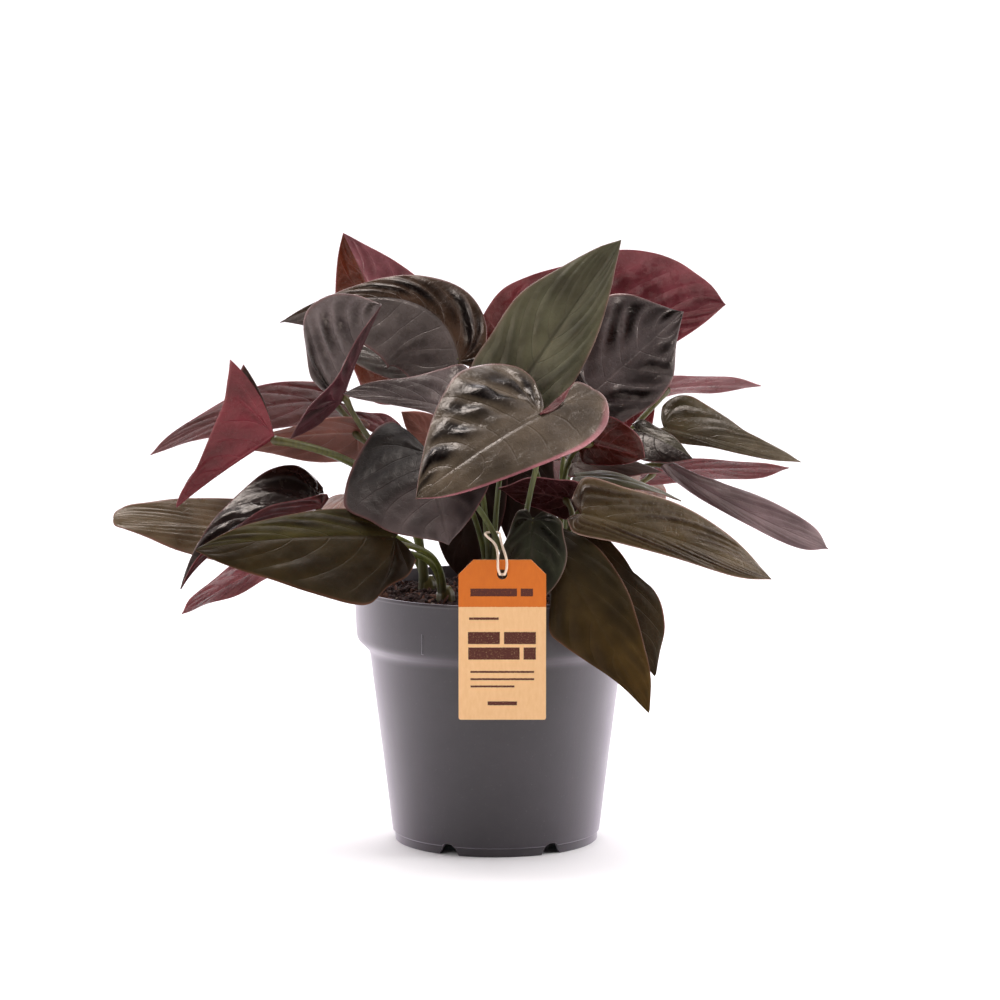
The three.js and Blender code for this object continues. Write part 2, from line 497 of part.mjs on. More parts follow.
// A blade as one closed sheet: both faces carry the same triangles, and a wall follows the margin
function blade(row) {
  const { rows, columns, thickness, rib } = BLADE;
  const shape = spine(row);
  const points = [];
  const ribs = [];
  const index = [[], []];
  const spineIndex = [];
  for (let half = 0; half < 2; half += 1) {
    const grid = halfRows(row, half, shape);
    const fanRows = grid.filter((line) => line[0].distanceTo(grid[0][0]) < 1e-6).length;
    for (let i = 0; i <= rows; i += 1) {
      index[half].push([]);
      for (let j = 0; j <= columns; j += 1) {
        const shared = j === 0 || i === rows;
        const place = i === rows ? rows : Math.max(0, i - fanRows + 1);
        if (shared && spineIndex[place] === undefined) {
          spineIndex[place] = points.push(grid[i][0]) - 1;
          ribs.push(rib * (1 - i / rows) ** 0.7);
        }
        if (!shared) {
          points.push(grid[i][j]);
          ribs.push(0);
        }
        index[half][i].push(shared ? spineIndex[place] : points.length - 1);
      }
    }
  }
  const sheet = [];
  for (let half = 0; half < 2; half += 1) {
    for (let i = 0; i < rows; i += 1) {
      for (let j = 0; j < columns; j += 1) {
        const a = index[half][i][j];
        const b = index[half][i][j + 1];
        const c = index[half][i + 1][j + 1];
        const d = index[half][i + 1][j];
        for (const t of [[a, b, c], [a, c, d]]) {
          if (new Set(t).size === 3) sheet.push(half === 0 ? [t[0], t[2], t[1]] : t);
        }
      }
    }
  }
  const edgeOf = (half) => [...index[half][0], ...index[half].slice(1).map((line) => line[columns])];
  const loop = [...edgeOf(0).reverse(), ...edgeOf(1).slice(1, -1)];
  const normals = points.map(() => new THREE.Vector3());
  for (const [a, b, c] of sheet) {
    const n = points[b].clone().sub(points[a]).cross(points[c].clone().sub(points[a]));
    for (const k of [a, b, c]) normals[k].add(n);
  }
  normals.forEach((n) => n.normalize());
  const count = points.length;
  const upper = points.map((p, k) => p.clone().addScaledVector(normals[k], thickness / 2));
  const lower = points.map((p, k) => p.clone().addScaledVector(normals[k], -thickness / 2 - ribs[k]));
  const triangles = [...sheet, ...sheet.map(([a, b, c]) => [a + count, c + count, b + count])];
  for (let k = 0; k < loop.length; k += 1) {
    const a = loop[k];
    const b = loop[(k + 1) % loop.length];
    triangles.push([b, a, a + count], [b, a + count, b + count]);
  }
  return geometryOf([...upper, ...lower], triangles);
}

// A petiole from its crown to just under the blade's base
function petiole(row) {
  const [x, y] = PLANTS[row.plant];
  const { frame } = spine(row);
  const { point, tangent, up } = frame(0);
  const entry = rad(row.entry ?? PETIOLE.entry);
  const arrive = tangent.clone().multiplyScalar(Math.cos(entry)).addScaledVector(up, Math.sin(entry));
  const droop = Math.max(0, -Math.min(...(row.fold ?? [0, 0])));
  const under = BLADE.thickness / 2 + BLADE.rib + GAP;
  const drop = under + PETIOLE.radius * (Math.cos(entry) + Math.tan(rad(droop)));
  const end = point.clone().addScaledVector(up, -drop);
  const ground = soilHeight(x, y);
  const heading = Math.atan2(end.y - y, end.x - x);
  const out = vec([Math.cos(heading), Math.sin(heading), 0]).multiplyScalar(2);
  const root = out.add(vec([x, y, ground + CROWN.height - 4]));
  const span = root.distanceTo(end);
  const lift = new THREE.Vector3(0, 0, span * (row.lift ?? 0.45));
  const route = new THREE.CubicBezierCurve3(
    root, root.clone().add(lift), end.clone().addScaledVector(arrive, -span * (row.lead ?? 0.22)), end);
  const ring = [];
  for (let k = 0; k < PETIOLE.sides; k += 1) {
    const a = (k / PETIOLE.sides) * Math.PI * 2;
    ring.push(new THREE.Vector2(PETIOLE.radius * Math.cos(a), PETIOLE.radius * Math.sin(a)));
  }
  return new THREE.ExtrudeGeometry(new THREE.Shape(ring), { steps: PETIOLE.steps, extrudePath: route });
}

// A young plant: its crown and all its petioles as one body
function plantlet(key) {
  const [x, y] = PLANTS[key];
  const ground = soilHeight(x, y);
  const tall = SOIL.holeDepth - GAP + CROWN.height;
  const crown = new THREE.CylinderGeometry(CROWN.top, CROWN.radius, tall, CROWN.sides).rotateX(Math.PI / 2);
  crown.translate(x, y, ground + CROWN.height - tall / 2);
  const stalks = BLADES.filter((row) => row.plant === key).map(petiole);
  return fromManifold(Manifold.union([crown, ...stalks].map(toManifold)));
}

const group = new THREE.Group();
function add(name, geometry, key) {
  const mesh = new THREE.Mesh(geometry, material(key));
  mesh.name = name;
  group.add(mesh);
}

add('pot', pot(), 'pot');
add('soil', soil(), 'soil');
add('tag_card', tag(), 'card');
add('tag_elastic', stringLoop(), 'elastic');
for (const key of Object.keys(PLANTS)) add(`stalks_${key}`, plantlet(key), 'stalk');
for (const row of BLADES) add(row.name, blade(row), row.tint);

export default group;
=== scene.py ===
import math

import bmesh
import bpy
import numpy as np
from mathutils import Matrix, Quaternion, Vector


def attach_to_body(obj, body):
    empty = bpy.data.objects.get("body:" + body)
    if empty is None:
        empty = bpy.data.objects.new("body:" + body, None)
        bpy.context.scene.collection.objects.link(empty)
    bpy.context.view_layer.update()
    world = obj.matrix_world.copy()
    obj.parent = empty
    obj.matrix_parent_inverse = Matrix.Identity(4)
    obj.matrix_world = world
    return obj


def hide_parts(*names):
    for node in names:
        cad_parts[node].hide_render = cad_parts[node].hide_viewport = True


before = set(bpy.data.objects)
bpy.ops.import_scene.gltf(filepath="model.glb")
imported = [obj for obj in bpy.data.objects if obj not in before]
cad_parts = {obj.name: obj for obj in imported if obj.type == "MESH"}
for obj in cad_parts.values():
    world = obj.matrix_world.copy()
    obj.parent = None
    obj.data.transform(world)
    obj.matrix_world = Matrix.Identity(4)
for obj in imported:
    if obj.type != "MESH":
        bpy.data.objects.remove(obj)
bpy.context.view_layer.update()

MM = 0.001
scene = bpy.context.scene

# The pot, soil, crowns, petioles, tag and elastic, with the sizes of the part's source and those that only
# the finer pieces have
POT = dict(height=108, rim=60, band=58.8, band_z=86, shoulder_z=81, shoulder=53.4, lip=43.8, lip_z=4,
           foot=42.8, wall=1.2, foot_wall=1.6, floor_z=5.2, floor=1.4, pad=13, turn=32.5, notch_wide=9,
           notch_narrow=4, notch_tall=4.8, drain=4, drain_circle=28, gap=0.25)
SOIL = dict(level=102.5, crown=2.5, bump=1.6, reach=57, lump=(50, 8, 6, 9, 9))
CROWN = dict(height=8, sides=28, levels=12, radii=((0, 4.6), (4, 4.3), (9, 3.6), (11, 2.2)), clear=4.4)
PETIOLE = dict(entry=40, drop=1.45, radius=1.25, rise=0.45, arrive=0.22, sides=14, stout=1.42, thin=1.15)
TAG = dict(x=2.6, y=-61.5, top=127.5, width=35.6, height=66, cut=6, thick=0.8, hole=2.1, drop=6, bevel=0.09,
           corner=0.7, band=19.4)
PLANTS = {"front": (8, -30), "left_front": (-21, -21), "left": (-29, 8), "middle": (-2, 2),
          "right_front": (30, -17), "right": (27, 14), "back": (-4, 30)}
LOOP = [(2.6, -59.9, 121.3), (1.7, -60.6, 121.5), (1.6, -62.4, 121.8), (0.9, -62.9, 124), (0.8, -62.7, 127),
        (0.8, -61.4, 129.6), (0.2, -57.5, 132), (-1.2, -50, 133.3), (-3.6, -40, 134), (-4.4, -33, 134.2),
        (-3.8, -29.4, 134.2), (-1.6, -28, 134.2), (0.8, -29.2, 134.2), (1.6, -33, 134.2), (1.8, -40, 134),
        (2.2, -50, 133.3), (2.8, -57.5, 132), (3.8, -61.4, 129.6), (4.4, -62.7, 127), (4.3, -62.9, 124),
        (3.6, -62.4, 121.8), (3.5, -60.6, 121.5)]
LOOP_RADIUS = 0.52


def blade(plant, tint, base, tip, face, arch, fold, **outline):
    return dict(outline, plant=plant, tint=tint, base=base, tip=tip, face=face, arch=arch, fold=fold)


# Blades, as in the part's source: the base is where the petiole meets the blade, face is where the upper
# side looks, arch and fold are in degrees, and pairs give the left half and then the right half. An edge
# lists each of its points as the distance along the midrib and the distance out from it.
BLADES = {
    "front_heart": blade("front", "black", (18, -55, 186), (-32, -88, 156), (-2, -8, 4), (14, 14), (-4, -4),
        sinus=((-9, 3), (-7, 3)), edge=((-20, -4, -27, -6, -31, -2, -32, 7, -25, 16, -9, 21, 9, 21, 23, 19,
        44, 13, 59, 6, 67, 0), (-9, 10, -12, 17, -12, 26, -6, 33, 4, 36, 14, 36, 24, 32, 32, 28, 45, 19, 58,
        8, 67, 0))),
    "top_green": blade("middle", "green", (9, -22, 193), (52, -8, 254), (-2, -8, 2), (6, 6), (4, 4),
        width=(22, 19), back=(8, 8), full=(1.15, 1)),
    "top_right_red": blade("right", "red", (6, 30, 204), (98, 38, 223), (0, 9, 1), (8, 8), (-4, -4),
        edge=((-16, 3, -14, 12, -4, 20, 16, 24, 40, 21, 58, 16, 72, 11, 84, 6, 94, 0), (-14, 10, -8, 19, 1,
        27, 14, 30, 32, 31, 52, 33, 67, 29, 77, 23, 84, 16, 90, 9, 94, 0))),
    "right_dark": blade("right", "silver", (40, 2, 189), (79, 14, 222), (0, -8, 3), (6, 6), (-4, -4),
        edge=((-8, 8, -4, 17, 6, 25, 20, 28, 34, 27, 40, 22, 46, 11, 52, 0), (-12, 10, -8, 16, -2, 18, 6, 19,
        17, 21, 25, 20, 30, 18, 41, 8, 52, 0))),
    "left_arching": blade("middle", "silver", (-16, 15, 201), (-92, 30, 216), (0, -7, 4), (12, 8), (-10, -6),
        sweep=(66, 38), reach=(0.46, 0.42), edge=((-8, 6, -10, 13, -4, 21, 10, 28, 32, 29, 52, 20, 68, 8, 78,
        0), (-3, 5, 0, 10, 8, 16, 18, 18, 30, 14, 44, 9, 58, 5, 70, 2, 78, 0))),
    "left_under_strip": blade("middle", "silver", (-20, 26, 192), (-74, 34, 208), (0, -5, 6), (10, 8), (-4,
        -4), width=(11, 14), back=(4, 5), full=(1.2, 1)),
    "left_silver": blade("left", "silver", (-64, -22, 189), (-47, -30, 229), (-8, 0, 3), (4, 4), (66, 44),
        edge=((0, 10, 3, 16, 11, 23, 19, 27, 27, 28, 35, 24, 41, 13, 44, 0), (-19, 20, -14, 21, -6, 17, 2,
        11, 10, 8, 20, 5, 32, 3, 44, 0))),
    "left_red_arrow": blade("left", "red", (-91, -42, 176), (-131, -46, 147), (-7, 0, 8), (4, 6), (68, 78),
        sinus=((-7, 18), (-6, 14)), edge=((-2, 40, 2, 33, 6, 29, 12, 23, 21, 15, 30, 10, 41, 5, 50, 0), (-5,
        31, 0, 28, 6, 23, 12, 19, 21, 13, 30, 8, 41, 4, 50, 0))),
    "left_mauve": blade("left", "pink", (-66, 5, 185), (-145, 0, 163), (0, 6, 6), (30, 25), (-6, -6),
        width=(14, 15), back=(6, 6), full=(1.2, 1)),
    "left_olive_under": blade("left", "brown", (-58, -8, 174), (-108, -20, 169), (0, 6, 6), (10, 10), (-6,
        -6), width=(10, 18), back=(5, 5)),
    "far_left_long": blade("left", "brown", (-82, -5, 129), (-159, -15, 138), (0, -7, 6), (2, 8), (-4, -4),
        edge=((-6, 6, -4, 13, 8, 18, 30, 17, 50, 13, 64, 8, 74, 5, 78, 3, 79, 0), (-6, 6, -4, 12, 8, 16, 30,
        16, 50, 13, 64, 9, 74, 7, 78, 4, 79, 0))),
    "left_folded_black": blade("left_front", "black", (-73, -22, 144), (-129, -52, 114), (-2, -2, 6), (20,
        35), (58, 34), edge=((-3, 4, 0, 8, 14, 8, 28, 8, 42, 6, 56, 4, 70, 0), (-6, 10, -5, 18, 0, 23, 12,
        24, 24, 20, 36, 14, 48, 8, 60, 4, 70, 0))),
    "front_left_big": blade("left_front", "olive", (-41, -62, 137), (-121, -78, 134), (0, -6, 5), (12, 12),
        (-6, -4), edge=((-8, 10, -3, 18, 6, 23, 14, 30, 21, 31, 39, 25, 54, 17, 66, 11, 75, 6, 82, 0), (-4,
        7, 0, 11, 14, 13, 34, 13, 54, 10, 70, 5, 82, 0))),
    "low_left_red": blade("left_front", "red", (-91, -45, 125), (-128, -60, 105), (0, 5, 6), (8, 8), (-6,
        -6), width=(14, 10), back=(4, 4), full=(1.5, 1.1)),
    "centre_black": blade("front", "black", (-27, -46, 169), (-19, -78, 136), (-1, -6, 5), (12, 10), (-6,
        -4), edge=((-8, 6, -10, 14, -4, 20, 8, 23, 22, 21, 34, 13, 46, 0), (-20, 8, -26, 13, -24, 19, -15,
        27, -5, 33, 7, 37, 18, 38, 27, 29, 33, 23, 39, 13, 46, 0))),
    "narrow_grey": blade("middle", "silver", (-13, -24, 183), (-63, -30, 192), (0, -7, 5), (25, 20), (-4,
        -4), edge=((-4, 4, -2, 9, 6, 8, 14, 5, 25, 4, 38, 3, 46, 2, 51, 0), (-8, 10, -6, 18, 2, 23, 12, 18,
        25, 11, 36, 7, 45, 4, 51, 0))),
    "low_right_big": blade("right_front", "olive", (20, -35, 136), (62, -76, 67), (-1, -8, 3), (28, 14), (-6,
        -6), edge=((-3, 3, 1, 6, 9, 10, 20, 15, 32, 17, 45, 17, 55, 15, 66, 12, 78, 8, 91, 0), (-3, 3, 0, 6,
        10, 10, 22, 10, 33, 12, 39, 17, 44, 19, 50, 17, 60, 12, 74, 5, 91, 0))),
    "low_right_behind": blade("right_front", "brown", (39.5, -38, 137), (65, -58, 79), (2, -8, 3), (18, 10),
        (-6, -6), edge=((-4, 2, -2, 4, 4, 4, 10, 5, 17, 7, 26, 9, 32, 13, 38, 14, 45, 13, 51, 11, 58, 6, 67,
        0), (-4, 3, 0, 6, 12, 8, 28, 9, 44, 8, 56, 4, 67, 0))),
    "small_above_tag": blade("front", "green", (15, -48, 142), (13, -57, 109.5), (-1, -8, 3), (10, 8), (-6,
        -6), edge=((-4, 4, -3, 8, 0, 12, 5, 13, 14, 15, 23, 13, 30, 8, 34, 0), (-5, 3, -4, 6, 0, 8, 7, 10,
        16, 13, 24, 11, 30, 7, 34, 0))),
    "right_long": blade("right_front", "brown", (35, -43, 144), (114, -32, 115), (0, -6, 5), (14, 14), (-4,
        -4), width=(18, 9), back=(5, 5), full=(1.25, 1.5)),
    "far_right_twisted": blade("right", "pink", (72, 10, 158), (141, 15, 121), (0, -6, 5), (-16, -8), (0, 0),
        edge=((-2, 2, 5, 3, 14, 4, 26, 7, 42, 10, 58, 9, 72, 6, 78, 0), (-2, 3, 6, 5, 14, 5, 26, 5, 42, 6,
        58, 6, 71, 4, 78, 0))),
    "right_thin_red": blade("right", "red", (66, 30, 153), (126, 45, 152), (0, 5, 5), (4, 4), (-4, -4),
        width=(9, 6), back=(4, 4), full=(1.6, 1.2)),
    "right_olive": blade("right", "olive", (71, 15, 173), (128, 0, 160), (0, -7, 5), (4, 6), (-4, -14),
        edge=((-3, 5, -4, 11, 0, 16, 6, 18, 14, 16, 24, 12, 34, 7, 43, 5, 52, 3, 60, 0), (-3, 3, -1, 5, 8, 5,
        20, 4, 32, 4, 44, 3, 52, 2, 60, 0))),
    "right_thin_pink": blade("right", "pink", (72, 35, 188), (114, 50, 187), (0, 5, 5), (6, 6), (-4, -4),
        width=(6, 7), back=(4, 4), full=(1.2, 1.2)),
    "right_small_dark": blade("right", "black", (59, 0, 174), (82, -14, 163), (1, -6, 5), (12, 12), (-6, -6),
        width=(6, 13), back=(4, 5), full=(1, 1.2)),
    "right_amber": blade("right", "red", (39, -13, 170), (62, -19, 164), (0, 9, 3), (6, 6), (-6, -6),
        width=(9, 14), back=(4, 5), full=(1, 1.5)),
    "right_dark_red": blade("right", "red", (55, 34, 166), (68, 42, 184), (3, 5, 3), (8, 8), (-6, -6),
        width=(8, 8), back=(4, 4)),
    "centre_purple": blade("right_front", "pink", (30, -23, 148), (1, -24, 152), (0, 5, 5), (8, 8), (-6, -6),
        width=(13, 12), back=(5, 5)),
    "right_strip": blade("right_front", "green", (34, -15, 156), (77, -19, 146), (0, -2, 7), (20, 14), (-6,
        -6), width=(6, 6), back=(2, 2)),
    "centre_mauve": blade("right", "pink", (33, 0, 160), (70, 4, 155), (0, -5, 6), (10, 10), (-6, -6),
        width=(8, 8), back=(4, 4)),
    "top_left_red": blade("back", "red", (-38, 42, 197), (-66, 62, 252), (-1, 8, 1), (6, 6), (6, 12),
        width=(26, 22), back=(8, 14), full=(1, 1.15)),
    "left_crumpled": blade("left", "pink", (-44, 6, 173), (-61, 2, 181), (0, 5, 5), (8, 8), (-6, -6),
        width=(7, 6), back=(3, 3)),
    "left_amber": blade("middle", "brown", (-24, 5, 168), (-40, 12, 180), (0, 8, 2), (8, 8), (-6, -6),
        width=(9, 9), back=(4, 4)),
    "back_left": blade("back", "black", (-24, 50, 166), (-46, 94, 128), (-2, 4, 7), (24, 20), (-8, -8),
        width=(22, 22), back=(10, 10)),
    "back_middle": blade("back", "black", (14, 58, 168), (24, 108, 128), (1, 5, 7), (26, 22), (-8, -8),
        width=(24, 24), back=(11, 11)),
    "back_right": blade("right", "olive", (44, 44, 156), (72, 92, 124), (3, 4, 7), (22, 20), (-8, -8),
        width=(21, 21), back=(9, 9)),
    "back_far_left": blade("left", "olive", (-50, 38, 146), (-82, 78, 118), (-4, 4, 7), (22, 18), (-8, -8),
        width=(18, 18), back=(8, 8)),
    "back_upright": blade("back", "red", (2, 48, 190), (16, 78, 214), (0, -5, 5), (14, 12), (-6, -6),
        width=(15, 15), back=(7, 7)),
    "back_low_left": blade("back", "black", (-11, 23, 161), (-16, 19, 109), (0, -8, 1), (8, 8), (-6, -6),
        width=(17, 13), back=(7, 7), full=(1.5, 1.5)),
    "back_low_right": blade("back", "black", (10, 27, 160), (14, 23, 112), (0, -8, 1), (8, 8), (-6, -6),
        width=(14, 12), back=(7, 7), full=(1.4, 1.4)),
    "back_inner": blade("right", "black", (38, 41, 182), (62, 71, 174), (2, -2, 7), (16, 14), (-8, -8),
        width=(13, 13), back=(6, 6)),
}

# The side veins sit where this scale reads a whole number: the first rows fan into the lobe
VEIN_ROWS = [0, 0.09, 0.2, 0.32, 0.44, 0.56, 0.68, 0.8, 0.91, 1]
FAN = 0.34
# The thickness of a blade and how far its rim stands out
THICK, RIM = 0.62, 0.1
# How deep the tones are drawn above and below
TOP_DEPTH, UNDER_DEPTH = 0.68, 0.9
# How finely the pot and the soil are cut
POT_SIDES, SOIL_SIDES, SOIL_RINGS, GRANULES = 180, 132, 46, 3400


def clamp(x):
    return np.clip(x, 0, 1)


def unit(v):
    v = np.asarray(v, float)
    return v / np.linalg.norm(v, axis=-1, keepdims=True)


def centripetal(nodes, t):
    """Points of a centripetal spline through the nodes, at t from 0 to 1, even per node."""
    nodes = np.asarray(nodes, float)
    last = len(nodes) - 1
    p = clamp(np.asarray(t, float)) * last
    k = np.minimum(p.astype(int), last - 1)
    w = (p - k)[:, None]
    ends = np.vstack([2 * nodes[0] - nodes[1], nodes, 2 * nodes[-1] - nodes[-2]])
    p0, p1, p2, p3 = ends[k], ends[k + 1], ends[k + 2], ends[k + 3]
    d = [np.sum((b - a) ** 2, axis=1, keepdims=True) ** 0.25 for a, b in ((p0, p1), (p1, p2), (p2, p3))]
    d[1] = np.where(d[1] < 1e-4, 1, d[1])
    d[0] = np.where(d[0] < 1e-4, d[1], d[0])
    d[2] = np.where(d[2] < 1e-4, d[1], d[2])
    m1 = ((p1 - p0) / d[0] - (p2 - p0) / (d[0] + d[1]) + (p2 - p1) / d[1]) * d[1]
    m2 = ((p2 - p1) / d[1] - (p3 - p1) / (d[1] + d[2]) + (p3 - p2) / d[2]) * d[1]
    return p1 + m1 * w + (3 * (p2 - p1) - 2 * m1 - m2) * w**2 + (2 * (p1 - p2) + m1 + m2) * w**3


def bezier(points, t):
    """Points of a cubic Bezier curve and the directions there."""
    a, b, c, d = (np.asarray(p, float) for p in points)
    t = np.asarray(t, float)[..., None]
    place = (1 - t) ** 3 * a + 3 * t * (1 - t) ** 2 * b + 3 * t * t * (1 - t) * c + t**3 * d
    return place, unit(3 * (1 - t) ** 2 * (b - a) + 6 * t * (1 - t) * (c - b) + 3 * t * t * (d - c))


class Spine:
    """The midrib of a blade and the frame that turns along it."""

    def __init__(self, row):
        base, tip = (np.array(row[k], float) for k in ("base", "tip"))
        self.length = float(np.linalg.norm(tip - base))
        along = (tip - base) / self.length
        face = np.array(row["face"], float)
        self.face = unit(face - along * face.dot(along))
        side = np.cross(along, self.face)
        rise, droop = np.radians(row["arch"])
        swing, hook = np.radians(row.get("sweep", (0, 0)))
        near, far = np.array(row.get("reach", (0.33, 0.33))) * self.length

        def at(a, u, s):
            return base + along * a + self.face * u + side * s

        self.points = (
            base,
            at(near * np.cos(rise) * np.cos(swing), near * np.sin(rise), near * np.sin(swing)),
            at(self.length - far * np.cos(droop) * np.cos(hook), far * np.sin(droop), far * np.sin(hook)),
            tip)

    def frame(self, u):
        u = np.asarray(u, float)
        t = clamp(u)
        point, tangent = bezier(self.points, t)
        up = unit(self.face - tangent * (tangent @ self.face)[..., None])
        return point + tangent * ((u - t) * self.length)[..., None], tangent, up, np.cross(tangent, up)


def margin(row, half, length):
    """The points of one half's edge, from the sinus round the lobe to the tip."""
    if "edge" in row:
        return np.reshape(row["edge"][half], (-1, 2))
    w, back = row["width"][half], row["back"][half]
    full = row.get("full", (1, 1))[half]
    return [(-back, w * 0.35), (-back * 0.86, w * 0.65), (-back * 0.35, w * 0.98), (length * 0.18, w),
            (length * 0.45, w * min(1, 0.85 * full)), (length * 0.7, w * 0.54 * full),
            (length * 0.89, w * 0.2 * full * full), (length, 0)]


def half_sheet(row, half, spine, t, v):
    """The mid-surface of one half at the rows t and the columns v, and how far out each point lies."""
    nodes = margin(row, half, spine.length)
    fold = math.radians(row["fold"][half])
    reach = max(p[1] for p in nodes)
    sinus = row["sinus"][half] if "sinus" in row else (nodes[0][0] * 0.55, reach * 0.1)
    edge = centripetal(nodes, t)
    start = np.maximum(0, (t - FAN) / (1 - FAN)) * spine.length
    bend = np.stack([start + (edge[:, 0] - start) * 0.3, edge[:, 1] * 0.5], 1)
    soft = clamp(1 - t / 0.111)[:, None]
    bend = bend * (1 - soft) + np.array(sinus, float) * soft
    v = v[None, :]
    along = (1 - v) ** 2 * start[:, None] + 2 * v * (1 - v) * bend[:, :1] + v * v * edge[:, :1]
    out = 2 * v * (1 - v) * bend[:, 1:] + v * v * edge[:, 1:]
    point, _, up, side = spine.frame(along / spine.length)
    wave = 0.8 * v**3 * np.sin(t * 15 + half * 2.1 + spine.length)[:, None] * np.minimum(1, out / 6)
    sign = -1 if half == 0 else 1
    place = point + side * (sign * out * math.cos(fold))[..., None]
    return place + up * (out * math.sin(fold) + wave)[..., None], out


def sines(seed, p, scale, count=7):
    """A smooth seeded field from -1 to 1 over 3-D points."""
    draw = np.random.default_rng(seed)
    total = np.zeros(p.shape[:-1])
    for _ in range(count):
        direction = unit(draw.normal(size=3)) * draw.uniform(0.6, 1.5) / scale
        total += np.sin(p @ direction * 2 * math.pi + draw.uniform(0, 6.28))
    return total / count * 1.6


def mesh_object(name, verts, faces, materials, smooth=True, slots=None, uvs=None, colors=None):
    """A mesh object from millimetres, with a material slot per face, one UV per corner and colours."""
    mesh = bpy.data.meshes.new(name)
    mesh.from_pydata((np.asarray(verts) * MM).tolist(), [], faces)
    for m in materials:
        mesh.materials.append(m)
    if slots is not None:
        mesh.polygons.foreach_set("material_index", np.asarray(slots, np.int32))
    mesh.polygons.foreach_set("use_smooth", np.full(len(mesh.polygons), smooth))
    if uvs is not None:
        layer = mesh.uv_layers.new(name="vein")
        layer.data.foreach_set("uv", np.asarray(uvs, np.float32).ravel())
    for key, values in (colors or {}).items():
        rgba = np.ones((len(verts), 4), np.float32)
        rgba[:, :values.shape[1]] = values
        attribute = mesh.color_attributes.new(key, "FLOAT_COLOR", "POINT")
        attribute.data.foreach_set("color", rgba.ravel())
    mesh.validate(clean_customdata=False)
    mesh.update()
    obj = bpy.data.objects.new(name, mesh)
    scene.collection.objects.link(obj)
    return obj


def attach(obj, node):
    """The piece stands for the part's node of that name, which is hidden."""
    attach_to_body(obj, "root")
    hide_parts(node)


def linear(rgb):
    """A colour as seen (sRGB, 0 to 255) in the linear values that shaders take."""
    c = np.asarray(rgb, float) / 255
    return np.where(c <= 0.04045, c / 12.92, ((c + 0.055) / 1.055) ** 2.4)


def toward(tone, rgb, share):
    """The tones moved towards a colour, by a share for each point."""
    return tone + (linear(rgb) - tone) * np.reshape(share, (-1, 1))


def normals(points, faces):
    triangles = [(f[0], f[1], f[-1]) for f in faces] + [tuple(f[1:]) for f in faces if len(f) == 4]
    a, b, c = np.array(triangles).T
    n = np.cross(points[b] - points[a], points[c] - points[a])
    total = np.zeros_like(points)
    for corner in (a, b, c):
        np.add.at(total, corner, n)
    return unit(total + 1e-12)


